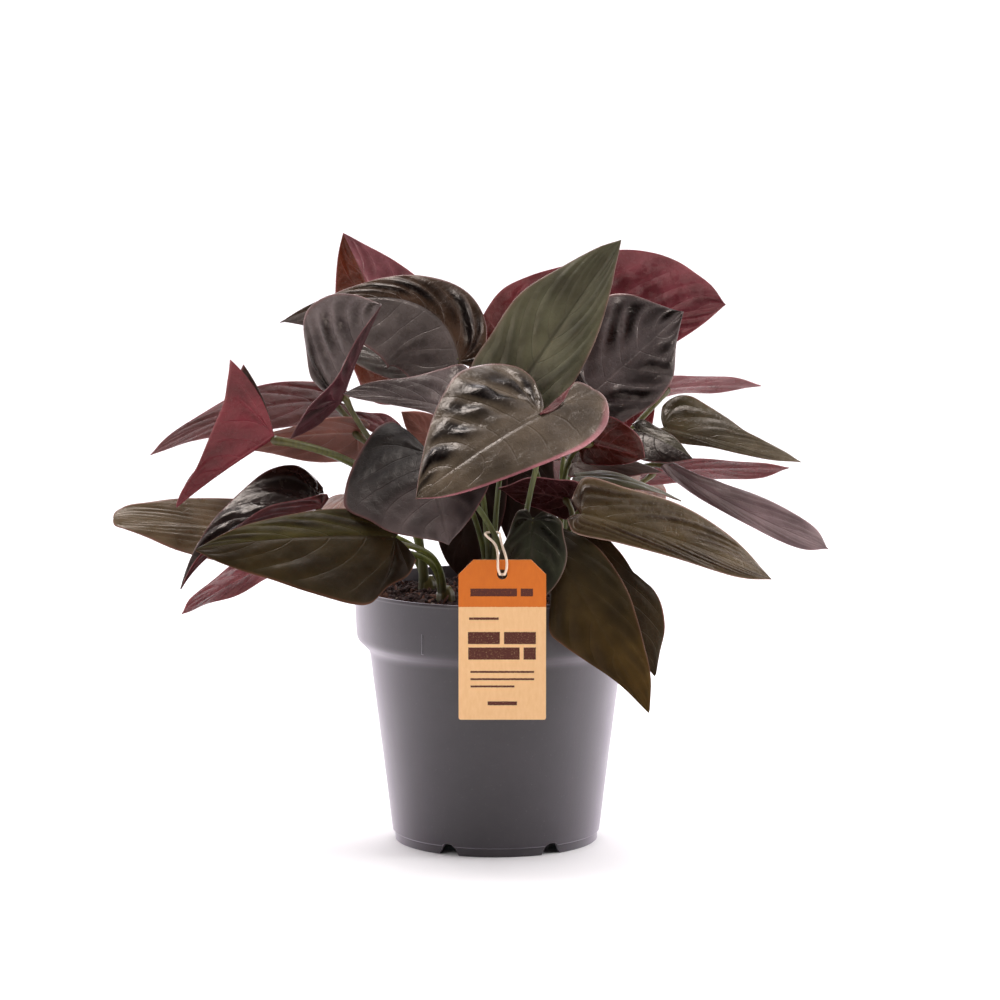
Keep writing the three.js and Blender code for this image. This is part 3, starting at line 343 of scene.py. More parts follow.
def blade_object(name, row, look, materials):
    """A leaf with its quilting, midrib and rim, in one closed mesh with an upper and a lower skin."""
    spine = Spine(row)
    seed = sum(ord(c) * (k + 3) for k, c in enumerate(name))
    draw = np.random.default_rng(seed)
    reach = max(p[1] for half in (0, 1) for p in margin(row, half, spine.length))
    rows = int(np.clip(spine.length * 1.15, 30, 96))
    cols = int(np.clip(reach * 1.15 + 4, 12, 40))
    t = np.linspace(0, 1, rows + 1)
    v = np.linspace(0, 1, cols + 1) ** 0.9
    down, over = t[:, None], v[None, :]
    phase = np.interp(t, VEIN_ROWS, range(len(VEIN_ROWS))) * look.get("veins", 9) / 9
    lean = look.get("lean", 1.6) * clamp((down - 0.12) / 0.3) * over**1.4
    phase = np.maximum(phase[:, None] - lean, 0)
    dome = np.abs(np.sin(math.pi * phase)) ** 0.8
    dome = np.where(phase < 1, dome * 0.6, dome)
    belly = clamp((over - 0.16) * 4) * clamp((0.95 - over) * 5)
    quilts, painted_shade_shares = (np.broadcast_to(look[key], 2) for key in ("quilt", "painted_shade_share"))
    fan_rows = int(np.sum(t <= FAN))

    # The points of both halves, which share the midrib's and the tip's
    points, seen, ids = [], {}, np.zeros((2, rows + 1, cols + 1), int)
    for half in (0, 1):
        p, out = half_sheet(row, half, spine, t, v)
        wander = draw.uniform(0, 6.28, 2)
        pucker = 0.7 + 0.3 * np.sin(2 * math.pi * (over * 1.2 + phase * 0.31) + wander[0])
        strength = 0.75 + 0.35 * np.sin(np.floor(phase) * 2.3 + wander[1])
        hollow = quilts[half] * over**0.45 * (1 - over**4) * np.minimum(1, out / 7)
        lift = hollow * (dome * pucker * strength + 0.3 * sines(seed + half, p, 11)
                         + 0.12 * sines(seed + half + 9, p, 3.6))
        lift -= look["groove"] * np.exp(-((out / 1.1) ** 2)) * (1 - down**3)
        rib = look["rib"] * np.exp(-((out / 0.9) ** 2)) * (1 - down) ** 0.6
        # Painted shade on the quilting's bulges: where they dome most they darken, by each half's share
        dark = clamp(dome**1.2 * 1.7 - 0.45) * belly * np.clip(strength, 0.6, 1)
        dark = dark * (0.85 + 0.3 * sines(seed + half + 17, p, 13)) * painted_shade_shares[half]
        field = np.dstack([p, lift, rib, dark, *(a * np.ones_like(out) for a in (down, over, half))])
        for i, j in np.ndindex(rows + 1, cols + 1):
            key = (half, i, j)
            if i == rows:
                key = rows
            elif j == 0:
                key = max(0, i - fan_rows + 1)
            if key not in seen:
                seen[key] = len(points)
                points.append(field[i, j])
            ids[half, i, j] = seen[key]
    points, count = np.array(points), len(points)
    places, (lift, rib, dark, down, over, right) = points[:, :3], points[:, 3:].T
    # Painted shadow towards the base, added to the painted shade
    dark = clamp(dark + look.get("shadow", 0) * clamp(1.25 - down * 2))

    faces, corners = [], []
    for half in (0, 1):
        side = 0.5 + (0.5 if half else -0.5) * v
        for i, j in np.ndindex(rows, cols):
            cell = [(i, j), (i, j + 1), (i + 1, j + 1), (i + 1, j)]
            ring = {}
            for a, b in cell if half else reversed(cell):
                ring.setdefault(int(ids[half, a, b]), (phase[a, b] / 10, side[b]))
            if len(ring) > 2:
                faces.append(list(ring))
                corners.append(list(ring.values()))

    # The upper skin, the lower skin and a thin rim between them
    middle = places + normals(places, faces) * lift[:, None]
    n = normals(middle, faces)
    thick = THICK / 2 * (1 - 0.45 * clamp(over * 6 - 5))
    left_edge, right_edge = (ids[half, 0].tolist() + ids[half, 1:, cols].tolist() for half in (0, 1))
    loop = left_edge[::-1] + right_edge[1:-1]
    outward = np.cross(unit(middle[loop] - np.roll(middle[loop], 1, 0) + 1e-9), n[loop])
    verts = np.vstack([middle + n * thick[:, None], middle - n * (thick + rib)[:, None],
                       middle[loop] + outward * RIM])
    polygons = faces + [[k + count for k in reversed(f)] for f in faces]
    uvs = [c for uv in corners for c in uv] + [c for uv in corners for c in reversed(uv)]
    slots = [0] * len(faces) + [1] * len(faces)
    for k, a in enumerate(loop):
        after = (k + 1) % len(loop)
        b, rim_a, rim_b = loop[after], 2 * count + k, 2 * count + after
        polygons += [[b, a, rim_a, rim_b], [rim_b, rim_a, a + count, b + count]]
        uvs += [(0.05, 0.999)] * 8
        slots += [0, 1]

    mottle = 1 + 0.24 * sines(seed + 31, places, 17)
    parts = {"right": right, "tip": clamp(down * 1.8 - 0.8), "base": clamp(0.75 - down * 1.8)}
    colors = {}
    for key, depth in (("top", TOP_DEPTH), ("under", UNDER_DEPTH)):
        tone = np.ones((count, 1)) * linear(look[key])
        for part, share in parts.items():
            if f"{key}_{part}" in look:
                tone = toward(tone, look[f"{key}_{part}"], share)
        # The painted shade takes the tone given for it, else 0.35 of the leaf's tone; alpha marks where none
        # is painted
        deep = linear(look[key + "_dark"]) if key + "_dark" in look else tone * 0.35
        tone += (deep - tone) * dark[:, None]
        tone *= (mottle * depth)[:, None]
        tone = toward(tone, look[key + "_edge"], clamp(over * 22 - 21) * 0.8)
        if key == "top" and "rolled" in look:
            half, start, wide, pink = look["rolled"]
            rolled = clamp((over - 1 + wide) / wide * 3) * clamp((down - start) * 9)
            tone = toward(tone, pink, rolled * (right == half))
        tone = np.hstack([tone, 1 - dark[:, None]])
        colors["tone_" + key] = np.vstack([tone, tone, tone[loop]])
    obj = mesh_object("leaf_" + name, verts, polygons, materials, slots=slots, uvs=uvs, colors=colors)
    attach(obj, "blade_" + name)


class Pile:
    """Points and faces gathered from several solids."""

    def __init__(self):
        self.verts, self.faces, self.slots = [], [], []

    def add(self, verts, faces, slot=0):
        base = len(self.verts)
        self.verts += [tuple(p) for p in verts]
        self.faces += [[k + base for k in f] for f in faces]
        self.slots += [slot] * len(faces)


def ring_faces(rings, sides, closed=False):
    """Quads between rings of points, with flat ends unless the rings close on themselves."""
    faces = []
    for k in range(rings if closed else rings - 1):
        a, b = k * sides, (k + 1) % rings * sides
        faces += [[a + i, a + (i + 1) % sides, b + (i + 1) % sides, b + i] for i in range(sides)]
    if not closed:
        faces += [list(range(sides))[::-1], [(rings - 1) * sides + i for i in range(sides)]]
    return faces


def circle(sides):
    return np.linspace(0, 2 * math.pi, sides, endpoint=False)


def tube(route, radii, sides, closed=False):
    """Points and faces of a tube along a route, with its rings kept from twisting."""
    tangent = unit(np.roll(route, -1, 0) - np.roll(route, 1, 0) if closed else np.gradient(route, axis=0))
    normal = np.zeros_like(route)
    normal[0] = unit(np.cross(tangent[0], (0.3, 0.9, 0.2)))
    for k in range(1, len(route)):
        normal[k] = unit(normal[k - 1] - tangent[k] * normal[k - 1].dot(tangent[k]))
    if closed:
        n = normal[-1] - tangent[0] * normal[-1].dot(tangent[0])
        turn = math.atan2(n.dot(np.cross(tangent[0], normal[0])), n.dot(normal[0]))
        angle = -turn * np.arange(len(route))[:, None] / len(route)
        normal = normal * np.cos(angle) + np.cross(tangent, normal) * np.sin(angle)
    across = np.cross(tangent, normal)
    angle = circle(sides)[None, :, None]
    ring = np.cos(angle) * normal[:, None] + np.sin(angle) * across[:, None]
    verts = (route[:, None] + ring * radii[:, None, None]).reshape(-1, 3)
    return verts, ring_faces(len(route), sides, closed)


def soil_height(x, y):
    """The soil's top, as in the part's source: a gentle crown, waves and a lump at the right."""
    r = np.hypot(x, y) / SOIL["reach"]
    waves = np.sin(x * 0.41 + 1.3) * np.cos(y * 0.37) + 0.6 * np.sin(x * 0.83 - y * 0.71 + 0.4)
    cx, cy, wide, deep, tall = SOIL["lump"]
    lump = tall * np.exp(-(((x - cx) / wide) ** 2 + ((y - cy) / deep) ** 2))
    return SOIL["level"] + SOIL["crown"] * (1 - r * r) + SOIL["bump"] * waves * (0.4 + 0.6 * (1 - r)) + lump


def petiole_route(row, steps=40):
    """The middle line of a petiole, from inside its crown to just under the base of its blade."""
    x, y = PLANTS[row["plant"]]
    point, tangent, up, _ = (f[0] for f in Spine(row).frame(np.zeros(1)))
    entry = math.radians(PETIOLE["entry"])
    arrive = tangent * math.cos(entry) + up * math.sin(entry)
    droop = max(0, -min(row["fold"]))
    drop = PETIOLE["drop"] + PETIOLE["radius"] * (math.cos(entry) + math.tan(math.radians(droop)))
    end = point - up * drop
    heading = math.atan2(end[1] - y, end[0] - x)
    root = np.array([x + 2 * math.cos(heading), y + 2 * math.sin(heading),
                     soil_height(x, y) + CROWN["height"] - 4])
    span = float(np.linalg.norm(end - root))
    bend, turn = root + (0, 0, span * PETIOLE["rise"]), end - arrive * span * PETIOLE["arrive"]
    route, _ = bezier((root, bend, turn, end), np.linspace(0, 1, steps))
    low = np.linspace(route[0] - (0, 0, 7), route[0], 5)[:-1]
    high = np.linspace(route[-1], point - up * 0.3 + tangent * 1.6, 5)[1:]
    return np.vstack([low, route, high])


def stalks_object(key, material):
    """The petioles of one plant and the crown that they stand in."""
    pile, tones = Pile(), []
    green, sheath, blush = linear((88, 94, 38)), linear((66, 58, 34)), linear((80, 42, 32))
    rows = [(name, row) for name, row in BLADES.items() if row["plant"] == key]
    for n, (name, row) in enumerate(rows):
        route = petiole_route(row)
        s = np.linspace(0, 1, len(route))
        stout = PETIOLE["stout"] if name in STOUT else 1.0
        radii = stout * (PETIOLE["thin"] + 0.7 * clamp(1 - s * 3.2) ** 1.5)
        radii += 0.42 * clamp(1 - np.abs(s - 0.93) / 0.07) ** 0.7
        radii *= 1 - 0.5 * clamp(s * 30 - 29)
        verts, faces = tube(route, radii, PETIOLE["sides"])
        pile.add(verts, faces)
        share = np.repeat(s, PETIOLE["sides"])[:, None]
        tone = sheath + (green - sheath) * clamp(share * 4)
        tone = tone + (blush - tone) * (0.55 * clamp(share * 1.6 - 0.7))
        tones.append(tone * (1 + 0.25 * sines(n + 5, verts, 14))[:, None])
    x, y = PLANTS[key]
    ground, angle = soil_height(x, y), circle(CROWN["sides"])
    rings = []
    for k, z in enumerate(np.linspace(-CROWN["height"], CROWN["height"] - 1.2, CROWN["levels"])):
        r = np.interp(k, *zip(*CROWN["radii"])) * (1 + 0.07 * np.cos(angle * 7 + k * 0.12))
        rings.append(np.stack([x + r * np.cos(angle), y + r * np.sin(angle), np.full_like(r, ground + z)], 1))
    crown = np.vstack(rings)
    pile.add(crown, ring_faces(CROWN["levels"], CROWN["sides"]))
    tones.append(np.ones((len(crown), 1)) * linear((90, 84, 40)))
    colors = {"tone_top": np.vstack(tones)}
    obj = mesh_object("stems_" + key, pile.verts, pile.faces, [material], colors=colors)
    attach(obj, "stalks_" + key)


def wall_radius(z):
    """The radius of the pot's inner wall at a height."""
    p = POT
    return float(np.interp(z, [p["lip_z"], p["shoulder_z"], p["band_z"], p["height"]],
                           [p["lip"], p["shoulder"], p["band"], p["rim"] - 0.4])) - p["wall"]


def rounded(profile):
    """A profile of radius, height and corner size, with each corner rounded in five steps."""
    points = []
    for k, (r, z, size) in enumerate(profile):
        if size == 0:
            points.append((r, z))
            continue
        here, before, after = (np.array(profile[i][:2], float) for i in (k, k - 1, k + 1))
        a = here + unit(before - here) * min(size, np.linalg.norm(before - here) * 0.45)
        b = here + unit(after - here) * min(size, np.linalg.norm(after - here) * 0.45)
        points += [tuple((1 - w) ** 2 * a + 2 * w * (1 - w) * here + w * w * b) for w in np.linspace(0, 1, 5)]
    return points


def lathe(profile, segments):
    """Points and faces of a profile turned round the z axis."""
    angle = circle(segments)
    verts, rings = [], []
    for r, z in profile:
        count = 1 if r < 1e-6 else segments
        rings.append(list(range(len(verts), len(verts) + count)))
        verts += list(zip(r * np.cos(angle), r * np.sin(angle), np.full(segments, z)))[:count]
    faces = []
    for low, high in zip(rings, rings[1:]):
        for i in range(segments):
            j = (i + 1) % segments
            face = [low[i % len(low)], low[j % len(low)], high[j % len(high)], high[i % len(high)]]
            faces.append(list(dict.fromkeys(face)))
    return np.array(verts), [f for f in faces if len(f) > 2]


def evaluated_mesh(obj):
    bpy.context.view_layer.update()
    return bpy.data.meshes.new_from_object(obj.evaluated_get(bpy.context.evaluated_depsgraph_get()))


def pot_object(material):
    """The pot as one lathed shell with rounded corners, cut by the notches and drains."""
    p = POT
    floor_z, lip_z, height, rim, pad = (p[k] for k in ("floor_z", "lip_z", "height", "rim", "pad"))
    top, inside = floor_z + p["floor"], p["foot"] - p["foot_wall"]
    smooth = rounded([
        (0, 0, 0), (pad, 0, 0.5), (pad + 2.4, floor_z, 0.6), (inside, floor_z, 0.6), (inside, 0, 0.3),
        (p["foot"], 0, 0.3), (p["foot"] + 0.1, lip_z - 0.5, 0.12), (p["lip"], lip_z, 0.3),
        (p["shoulder"], p["shoulder_z"], 2.2), (p["band"], p["band_z"], 2.2), (rim - 0.3, height - 1.6, 0.3),
        (rim, height - 1, 0.3), (rim - 0.3, height, 0.25), (rim - 1.4, height, 0.3),
        *((wall_radius(z), z, 1) for z in (p["band_z"] + 1, p["shoulder_z"], top)),
        (pad + 1.6, top, 0.6), (pad - 0.8, p["floor"], 0.6), (0, p["floor"], 0)])
    steps = []
    for (r, z), (r2, z2) in zip(smooth, smooth[1:]):
        cuts = int(math.hypot(r2 - r, z2 - z) // 9) + 1
        steps += [(r + (r2 - r) * n / cuts, z + (z2 - z) * n / cuts) for n in range(cuts)]
    verts, faces = lathe(steps + smooth[-1:], POT_SIDES)
    obj = mesh_object("pot_shell", verts, faces, [material])

    low, high, tall = p["notch_wide"] / 2 + 0.4, p["notch_narrow"] / 2, p["notch_tall"]
    outline = [(-low, -0.5), (low, -0.5), (high + 0.5, tall - 0.6), (high - 0.4, tall), (0.4 - high, tall),
               (-high - 0.5, tall - 0.6)]
    drain, drain_faces = lathe([(0, floor_z - 6), (p["drain"], floor_z - 6), (p["drain"], floor_z + 6),
                                (0, floor_z + 6)], 32)
    cutters = Pile()
    for n in range(6):
        turn = math.radians(p["turn"] + n * 60)
        c, s = math.cos(turn), math.sin(turn)
        notch = [(x * c - y * s, x * s + y * c, z)
                 for y in (p["foot"] - 5, p["foot"] + 3) for x, z in outline]
        cutters.add(notch, ring_faces(2, len(outline)))
        cutters.add(drain + (-p["drain_circle"] * s, p["drain_circle"] * c, 0), drain_faces)
    cutter = mesh_object("cutter", cutters.verts, cutters.faces, [], smooth=False)
    edit = bmesh.new()
    edit.from_mesh(cutter.data)
    bmesh.ops.recalc_face_normals(edit, faces=edit.faces)
    edit.to_mesh(cutter.data)
    edit.free()
    cut = obj.modifiers.new("cut", "BOOLEAN")
    cut.operation, cut.object, cut.solver = "DIFFERENCE", cutter, "EXACT"
    solid = evaluated_mesh(obj)
    obj.modifiers.clear()
    obj.data = solid
    bpy.data.objects.remove(cutter)
    solid.polygons.foreach_set("use_smooth", np.ones(len(solid.polygons), bool))
    solid.set_sharp_from_angle(angle=math.radians(35))
    attach(obj, "pot")


def ball(subdivisions):
    """Points and faces of a unit sphere."""
    sphere = bmesh.new()
    bmesh.ops.create_icosphere(sphere, subdivisions=subdivisions, radius=1)
    verts, faces = np.array([v.co for v in sphere.verts]), [[v.index for v in f.verts] for f in sphere.faces]
    sphere.free()
    return verts, faces


def soil_object(materials):
    """A crumbly top over a plain body: granules, bark and a few pale bits, fused in one mesh."""
    draw = np.random.default_rng(21)
    edge = wall_radius(SOIL["level"] - 3) - POT["gap"]
    angle = circle(SOIL_SIDES)
    levels = []
    for z in (POT["floor_z"] + POT["floor"] + 0.3, POT["shoulder_z"], POT["band_z"] + 1):
        r = wall_radius(z) - POT["gap"]
        levels.append(np.stack([r * np.cos(angle), r * np.sin(angle), np.full_like(angle, z)], 1))
    for k in range(SOIL_RINGS):
        r = edge * (1 - k / SOIL_RINGS)
        p = np.stack([r * np.cos(angle), r * np.sin(angle), np.zeros_like(angle)], 1)
        rough = (0.7 * sines(3, p, 7) + 0.5 * sines(4, p, 2.6)) * min(1, k / 3)
        p[:, 2] = soil_height(p[:, 0], p[:, 1]) - 0.5 + rough
        levels.append(p)
    pile = Pile()
    pile.add(np.vstack(levels), ring_faces(len(levels), SOIL_SIDES))
    crumb, crumb_faces = ball(1)
    for _ in range(GRANULES):
        r, a = (edge - 0.8) * math.sqrt(draw.uniform(0, 1)), draw.uniform(0, 6.283)
        kind = draw.uniform()
        x, y = r * math.cos(a), r * math.sin(a)
        if min(math.hypot(x - px, y - py) for px, py in PLANTS.values()) < CROWN["clear"]:
            continue
        size = draw.uniform(0.35, 1.0) if kind < 0.9 else draw.uniform(0.9, 1.9)
        stretch = draw.uniform(0.5, 1.5, 3) * size
        if kind > 0.965:
            stretch = np.array([draw.uniform(2, 4.2), draw.uniform(0.7, 1.4), draw.uniform(0.35, 0.7)])
        size = float(max(stretch))
        if r + size > edge:
            continue
        turn = np.array(Quaternion(unit(draw.normal(size=4))).to_matrix())
        verts = (crumb * stretch * draw.uniform(0.75, 1.2, (len(crumb), 1))) @ turn.T
        z = soil_height(x, y) + draw.uniform(-0.5, 0.35) * min(size, 1.2)
        pile.add(verts + (x, y, z), crumb_faces, 1 if kind > 0.955 else 2 if kind < 0.012 else 0)
    lump, lump_faces = ball(3)
    for n, (x, y, *size) in enumerate(BARK):
        verts = lump * size * (1 + 0.22 * sines(60 + n, lump, 0.9) + 0.1 * sines(70 + n, lump, 0.35))[:, None]
        verts += (x, y, soil_height(x, y) - size[2] * 0.55)
        verts[:, :2] *= np.minimum(1, (edge - 0.1) / np.hypot(verts[:, 0], verts[:, 1]))[:, None]
        pile.add(verts, lump_faces, 1)
    obj = mesh_object("soil_crumbs", pile.verts, pile.faces, materials, smooth=False, slots=pile.slots)
    attach(obj, "soil")


def tag_object(material):
    """The card with two cut corners and its punched hole, with a small bevel all round."""
    g, bevel, corner = TAG, TAG["bevel"], TAG["corner"]
    half, h, cut = g["width"] / 2, g["height"], g["cut"]
    outline = [(-half, -h + corner), (-half + corner * 0.3, -h + corner * 0.3), (-half + corner, -h),
               (half - corner, -h), (half - corner * 0.3, -h + corner * 0.3), (half, -h + corner),
               (half, -cut), (half - cut, 0), (cut - half, 0), (-half, -cut)]
    hole = [(g["hole"] * math.cos(a), g["hole"] * math.sin(a) - g["drop"]) for a in circle(40)]
    curve = bpy.data.curves.new("card", "CURVE")
    curve.dimensions, curve.fill_mode = "2D", "BOTH"
    curve.extrude, curve.bevel_depth = (g["thick"] / 2 - bevel) * MM, bevel * MM
    curve.bevel_resolution = 1
    for points, middle, inset in ((outline, -h / 2, bevel), (hole, -g["drop"], -bevel)):
        spline = curve.splines.new("POLY")
        spline.points.add(len(points) - 1)
        spline.use_cyclic_u = True
        for point, (x, z) in zip(spline.points, points):
            k = 1 - inset / math.hypot(x, z - middle)
            point.co = (x * k * MM, (middle + (z - middle) * k) * MM, 0, 1)
    holder = bpy.data.objects.new("card", curve)
    scene.collection.objects.link(holder)
    mesh = evaluated_mesh(holder)
    bpy.data.objects.remove(holder)
    mesh.materials.clear()
    mesh.materials.append(material)
    for v in mesh.vertices:
        x, z, depth = v.co
        v.co = (x + g["x"] * MM, (g["y"] + g["thick"] / 2) * MM - depth, z + g["top"] * MM)
    mesh.polygons.foreach_set("use_smooth", np.zeros(len(mesh.polygons), bool))
    obj = bpy.data.objects.new("tag_printed", mesh)
    scene.collection.objects.link(obj)
    attach(obj, "tag_card")


def elastic_object(material):
    """The loop through the tag's hole and round a petiole, as a smooth closed tube."""
    nodes = np.array(LOOP, float)
    ring = np.vstack([nodes[-2:], nodes, nodes[:3]])
    route = np.vstack([centripetal(ring[k:k + 5], np.linspace(0.5, 0.75, 9)[:-1]) for k in range(len(nodes))])
    verts, faces = tube(route, np.full(len(route), LOOP_RADIUS), 10, closed=True)
    attach(mesh_object("tag_loop", verts, faces, [material]), "tag_elastic")


class Shader:
    """The nodes of a material or a world, with short ways to add them."""

    def __init__(self, owner):
        owner.use_nodes = True
        self.owner, self.tree = owner, owner.node_tree
        self.tree.nodes.clear()
        self.coords = self.put("TexCoord").outputs
        self.place = self.coords["Object"]

    def feed(self, socket, value):
        if isinstance(value, bpy.types.NodeSocket):
            self.tree.links.new(value, socket)
        else:
            socket.default_value = value

    def put(self, kind, **inputs):
        """A node; a key that names a property sets it, any other sets or links the input of that name."""
        node = self.tree.nodes.new("ShaderNode" + kind)
        for key, value in inputs.items():
            if hasattr(node, key):
                setattr(node, key, value)
            else:
                self.feed(node.inputs[key.replace("_", " ")], value)
        return node

    def math(self, operation, *values):
        node = self.put("Math", operation=operation)
        for socket, value in zip(node.inputs, values):
            self.feed(socket, value)
        return node.outputs[0]

    def times(self, a, b):
        return self.math("MULTIPLY", a, b)

    def ramp(self, value, low, high, out_low=0.0, out_high=1.0):
        node = self.put("MapRange", interpolation_type="SMOOTHSTEP")
        for socket, number in zip(node.inputs, (value, low, high, out_low, out_high)):
            self.feed(socket, number)
        return node.outputs[0]

    def mix(self, factor, a, b, blend="MIX"):
        node = self.put("Mix", data_type="RGBA", blend_type=blend)
        for k, value in ((0, factor), (6, a), (7, b)):
            self.feed(node.inputs[k], (*value, 1) if isinstance(value, (tuple, np.ndarray)) else value)
        return node.outputs[2]

    def shaded(self, color, shade):
        grey = self.put("CombineColor", Red=shade, Green=shade, Blue=shade).outputs[0]
        return self.mix(1.0, color, grey, "MULTIPLY")

    def noise(self, scale, detail=3.0, rough=0.5, distortion=0.0, stretch=None):
        place = self.place
        if stretch:
            place = self.put("Mapping", Vector=place, Scale=stretch).outputs[0]
        return self.put("TexNoise", Vector=place, Scale=scale, Detail=detail, Roughness=rough,
                        Distortion=distortion).outputs[0]

    def relief(self, *layers):
        """Bumps over one another, each a height field, its strength and its depth in metres."""
        normal = None
        for height, strength, distance in layers:
            node = self.put("Bump", Height=height, Strength=strength, Distance=distance)
            if normal is not None:
                self.feed(node.inputs["Normal"], normal)
            normal = node.outputs[0]
        return normal

    def skin(self, **sockets):
        return self.put("BsdfPrincipled", **sockets).outputs[0]

    def blend(self, share, first, second):
        node = self.put("MixShader", Fac=share)
        self.feed(node.inputs[1], first)
        self.feed(node.inputs[2], second)
        return node.outputs[0]

    def finish(self, shader, kind="Material"):
        self.feed(self.put("Output" + kind).inputs[0], shader)
        return self.owner


def shader_of(name):
    return Shader(bpy.data.materials.new(name))


def leaf_material(name, under, rough, vein_tone, vein_share, glow, ior=1.41):
    """Leaf skin: tone from the vertex colours, veins from the vein UV, cells and dimples from noise."""
    s = shader_of(name)
    source = s.put("Attribute", attribute_name="tone_under" if under else "tone_top")
    vein = s.put("SeparateXYZ", Vector=s.put("UVMap", uv_map="vein").outputs[0])
    wobble = s.math("MULTIPLY_ADD", s.noise(90.0), 0.12, -0.06)
    phase = s.math("ADD", s.times(vein.outputs[0], 10.0), wobble)
    across = s.math("ABSOLUTE", s.math("SUBTRACT", vein.outputs[1], 0.5))
    side_vein = s.times(s.ramp(s.math("PINGPONG", phase, 0.5), 0.055, 0.0), s.ramp(across, 0.5, 0.3))
    veins = s.math("MAXIMUM", side_vein, s.ramp(across, 0.03, 0.008))
    net = s.put("TexVoronoi", Vector=s.place, Scale=420.0, feature="DISTANCE_TO_EDGE").outputs["Distance"]
    net = s.ramp(net, 0.09, 0.0)
    color = s.mix(s.times(veins, vein_share), source.outputs["Color"], vein_tone)
    color = s.mix(s.times(net, 0.07), color, vein_tone)
    color = s.shaded(color, s.ramp(s.noise(55.0, 4.0, 0.6), 0.3, 0.7, 0.72, 1.25))
    wear = s.ramp(s.noise(210.0, 3.0, 0.6), 0.3, 0.72, rough - 0.06, rough + 0.12)
    if not under:
        # Where shade is painted on the bulges (a low alpha) the skin is glossier
        wear = s.math("ADD", wear, s.ramp(source.outputs["Alpha"], 1.0, 0.0, 0.0, -0.05))
    relief = s.relief((veins, 0.45, 0.00035 if under else -0.0003), (net, 0.3, 0.00012 if under else -0.0001),
                      (s.noise(330.0, 3.0, 0.55), 0.4, 0.00022), (s.noise(2600.0, 2.0, 0.6), 0.25, 0.00006))
    skin = s.skin(Base_Color=color, Roughness=wear, Normal=relief, IOR=ior, Specular_Tint=LEAF_GLOSS)
    light = s.put("BsdfTranslucent", Color=s.mix(1.0, color, LEAF_GLOW, "ADD"), Normal=relief)
    return s.finish(s.blend(glow, skin, light.outputs[0]))


def stalk_material():
    s = shader_of("stalk")
    tone = s.put("Attribute", attribute_name="tone_top").outputs["Color"]
    streak = s.noise(1.0, 4.0, 0.6, stretch=(900, 900, 60))
    spots = s.ramp(s.noise(700.0, 2.0), 0.62, 0.74)
    color = s.mix(s.times(spots, 0.35), tone, linear((88, 60, 40)))
    color = s.shaded(color, s.ramp(streak, 0.3, 0.7, 0.75, 1.2))
    skin = s.skin(Base_Color=color, Roughness=s.ramp(streak, 0.2, 0.8, 0.32, 0.48),
                  Normal=s.relief((streak, 0.35, 0.0002)))
    return s.finish(s.blend(0.15, skin, s.put("BsdfTranslucent", Color=color).outputs[0]))


def box_mask(s, x, z, cx, cz, wide, tall):
    """One inside a rectangle seen from the front, with a slightly soft edge."""
    inside = []
    for value, middle, size in ((x, cx, wide), (z, cz, tall)):
        off = s.math("ABSOLUTE", s.math("SUBTRACT", value, middle))
        inside.append(s.ramp(off, size / 2 + 0.00006, size / 2 - 0.00006))
    return s.times(*inside)


def pot_material():
    """Recycled grey plastic: satin, with faint flow streaks, dust, fine scratches and a mould line."""
    s = shader_of("pot")
    flow = s.noise(1.0, 5.0, 0.6, 0.8, stretch=(30, 30, 5))
    dust = s.ramp(s.noise(900.0, 3.0, 0.7), 0.62, 0.78)
    haze = s.ramp(s.noise(38.0, 4.0, 0.6), 0.35, 0.75)
    scratch = s.noise(1.0, 2.0, 0.7, stretch=(500, 500, 2600))
    x, y, z = s.put("SeparateXYZ", Vector=s.place).outputs
    mark = s.times(box_mask(s, x, z, *MOULD_MARK), s.ramp(y, -0.03, -0.04))
    color = s.mix(flow, linear((26, 20, 23)), linear((34, 27, 31)))
    color = s.mix(s.times(dust, 0.22), color, linear((120, 112, 112)))
    color = s.mix(s.times(haze, 0.18), color, linear((74, 68, 72)))
    color = s.mix(s.times(mark, 0.5), color, linear((20, 18, 20)))
    rough = s.math("ADD", s.ramp(haze, 0.0, 1.0, 0.36, 0.46), s.times(scratch, 0.08))
    relief = s.relief((flow, 0.12, 0.0008), (mark, 0.7, 0.0006), (s.noise(1500.0, 3.0, 0.6), 0.2, 0.00008))
    return s.finish(s.skin(Base_Color=color, Roughness=rough, Normal=relief, **POT_SHEEN))


def earth_material(name, dark, light, rough, scale):
    s = shader_of(name)
    grain = s.noise(scale, 6.0, 0.7)
    crumbs = s.put("TexVoronoi", Vector=s.place, Scale=scale * 0.8).outputs["Distance"]
    color = s.mix(s.ramp(grain, 0.3, 0.7), linear(dark), linear(light))
    relief = s.relief((grain, 0.8, 0.0006), (crumbs, 0.5, 0.0004))
    return s.finish(s.skin(Base_Color=color, Roughness=rough, Normal=relief))


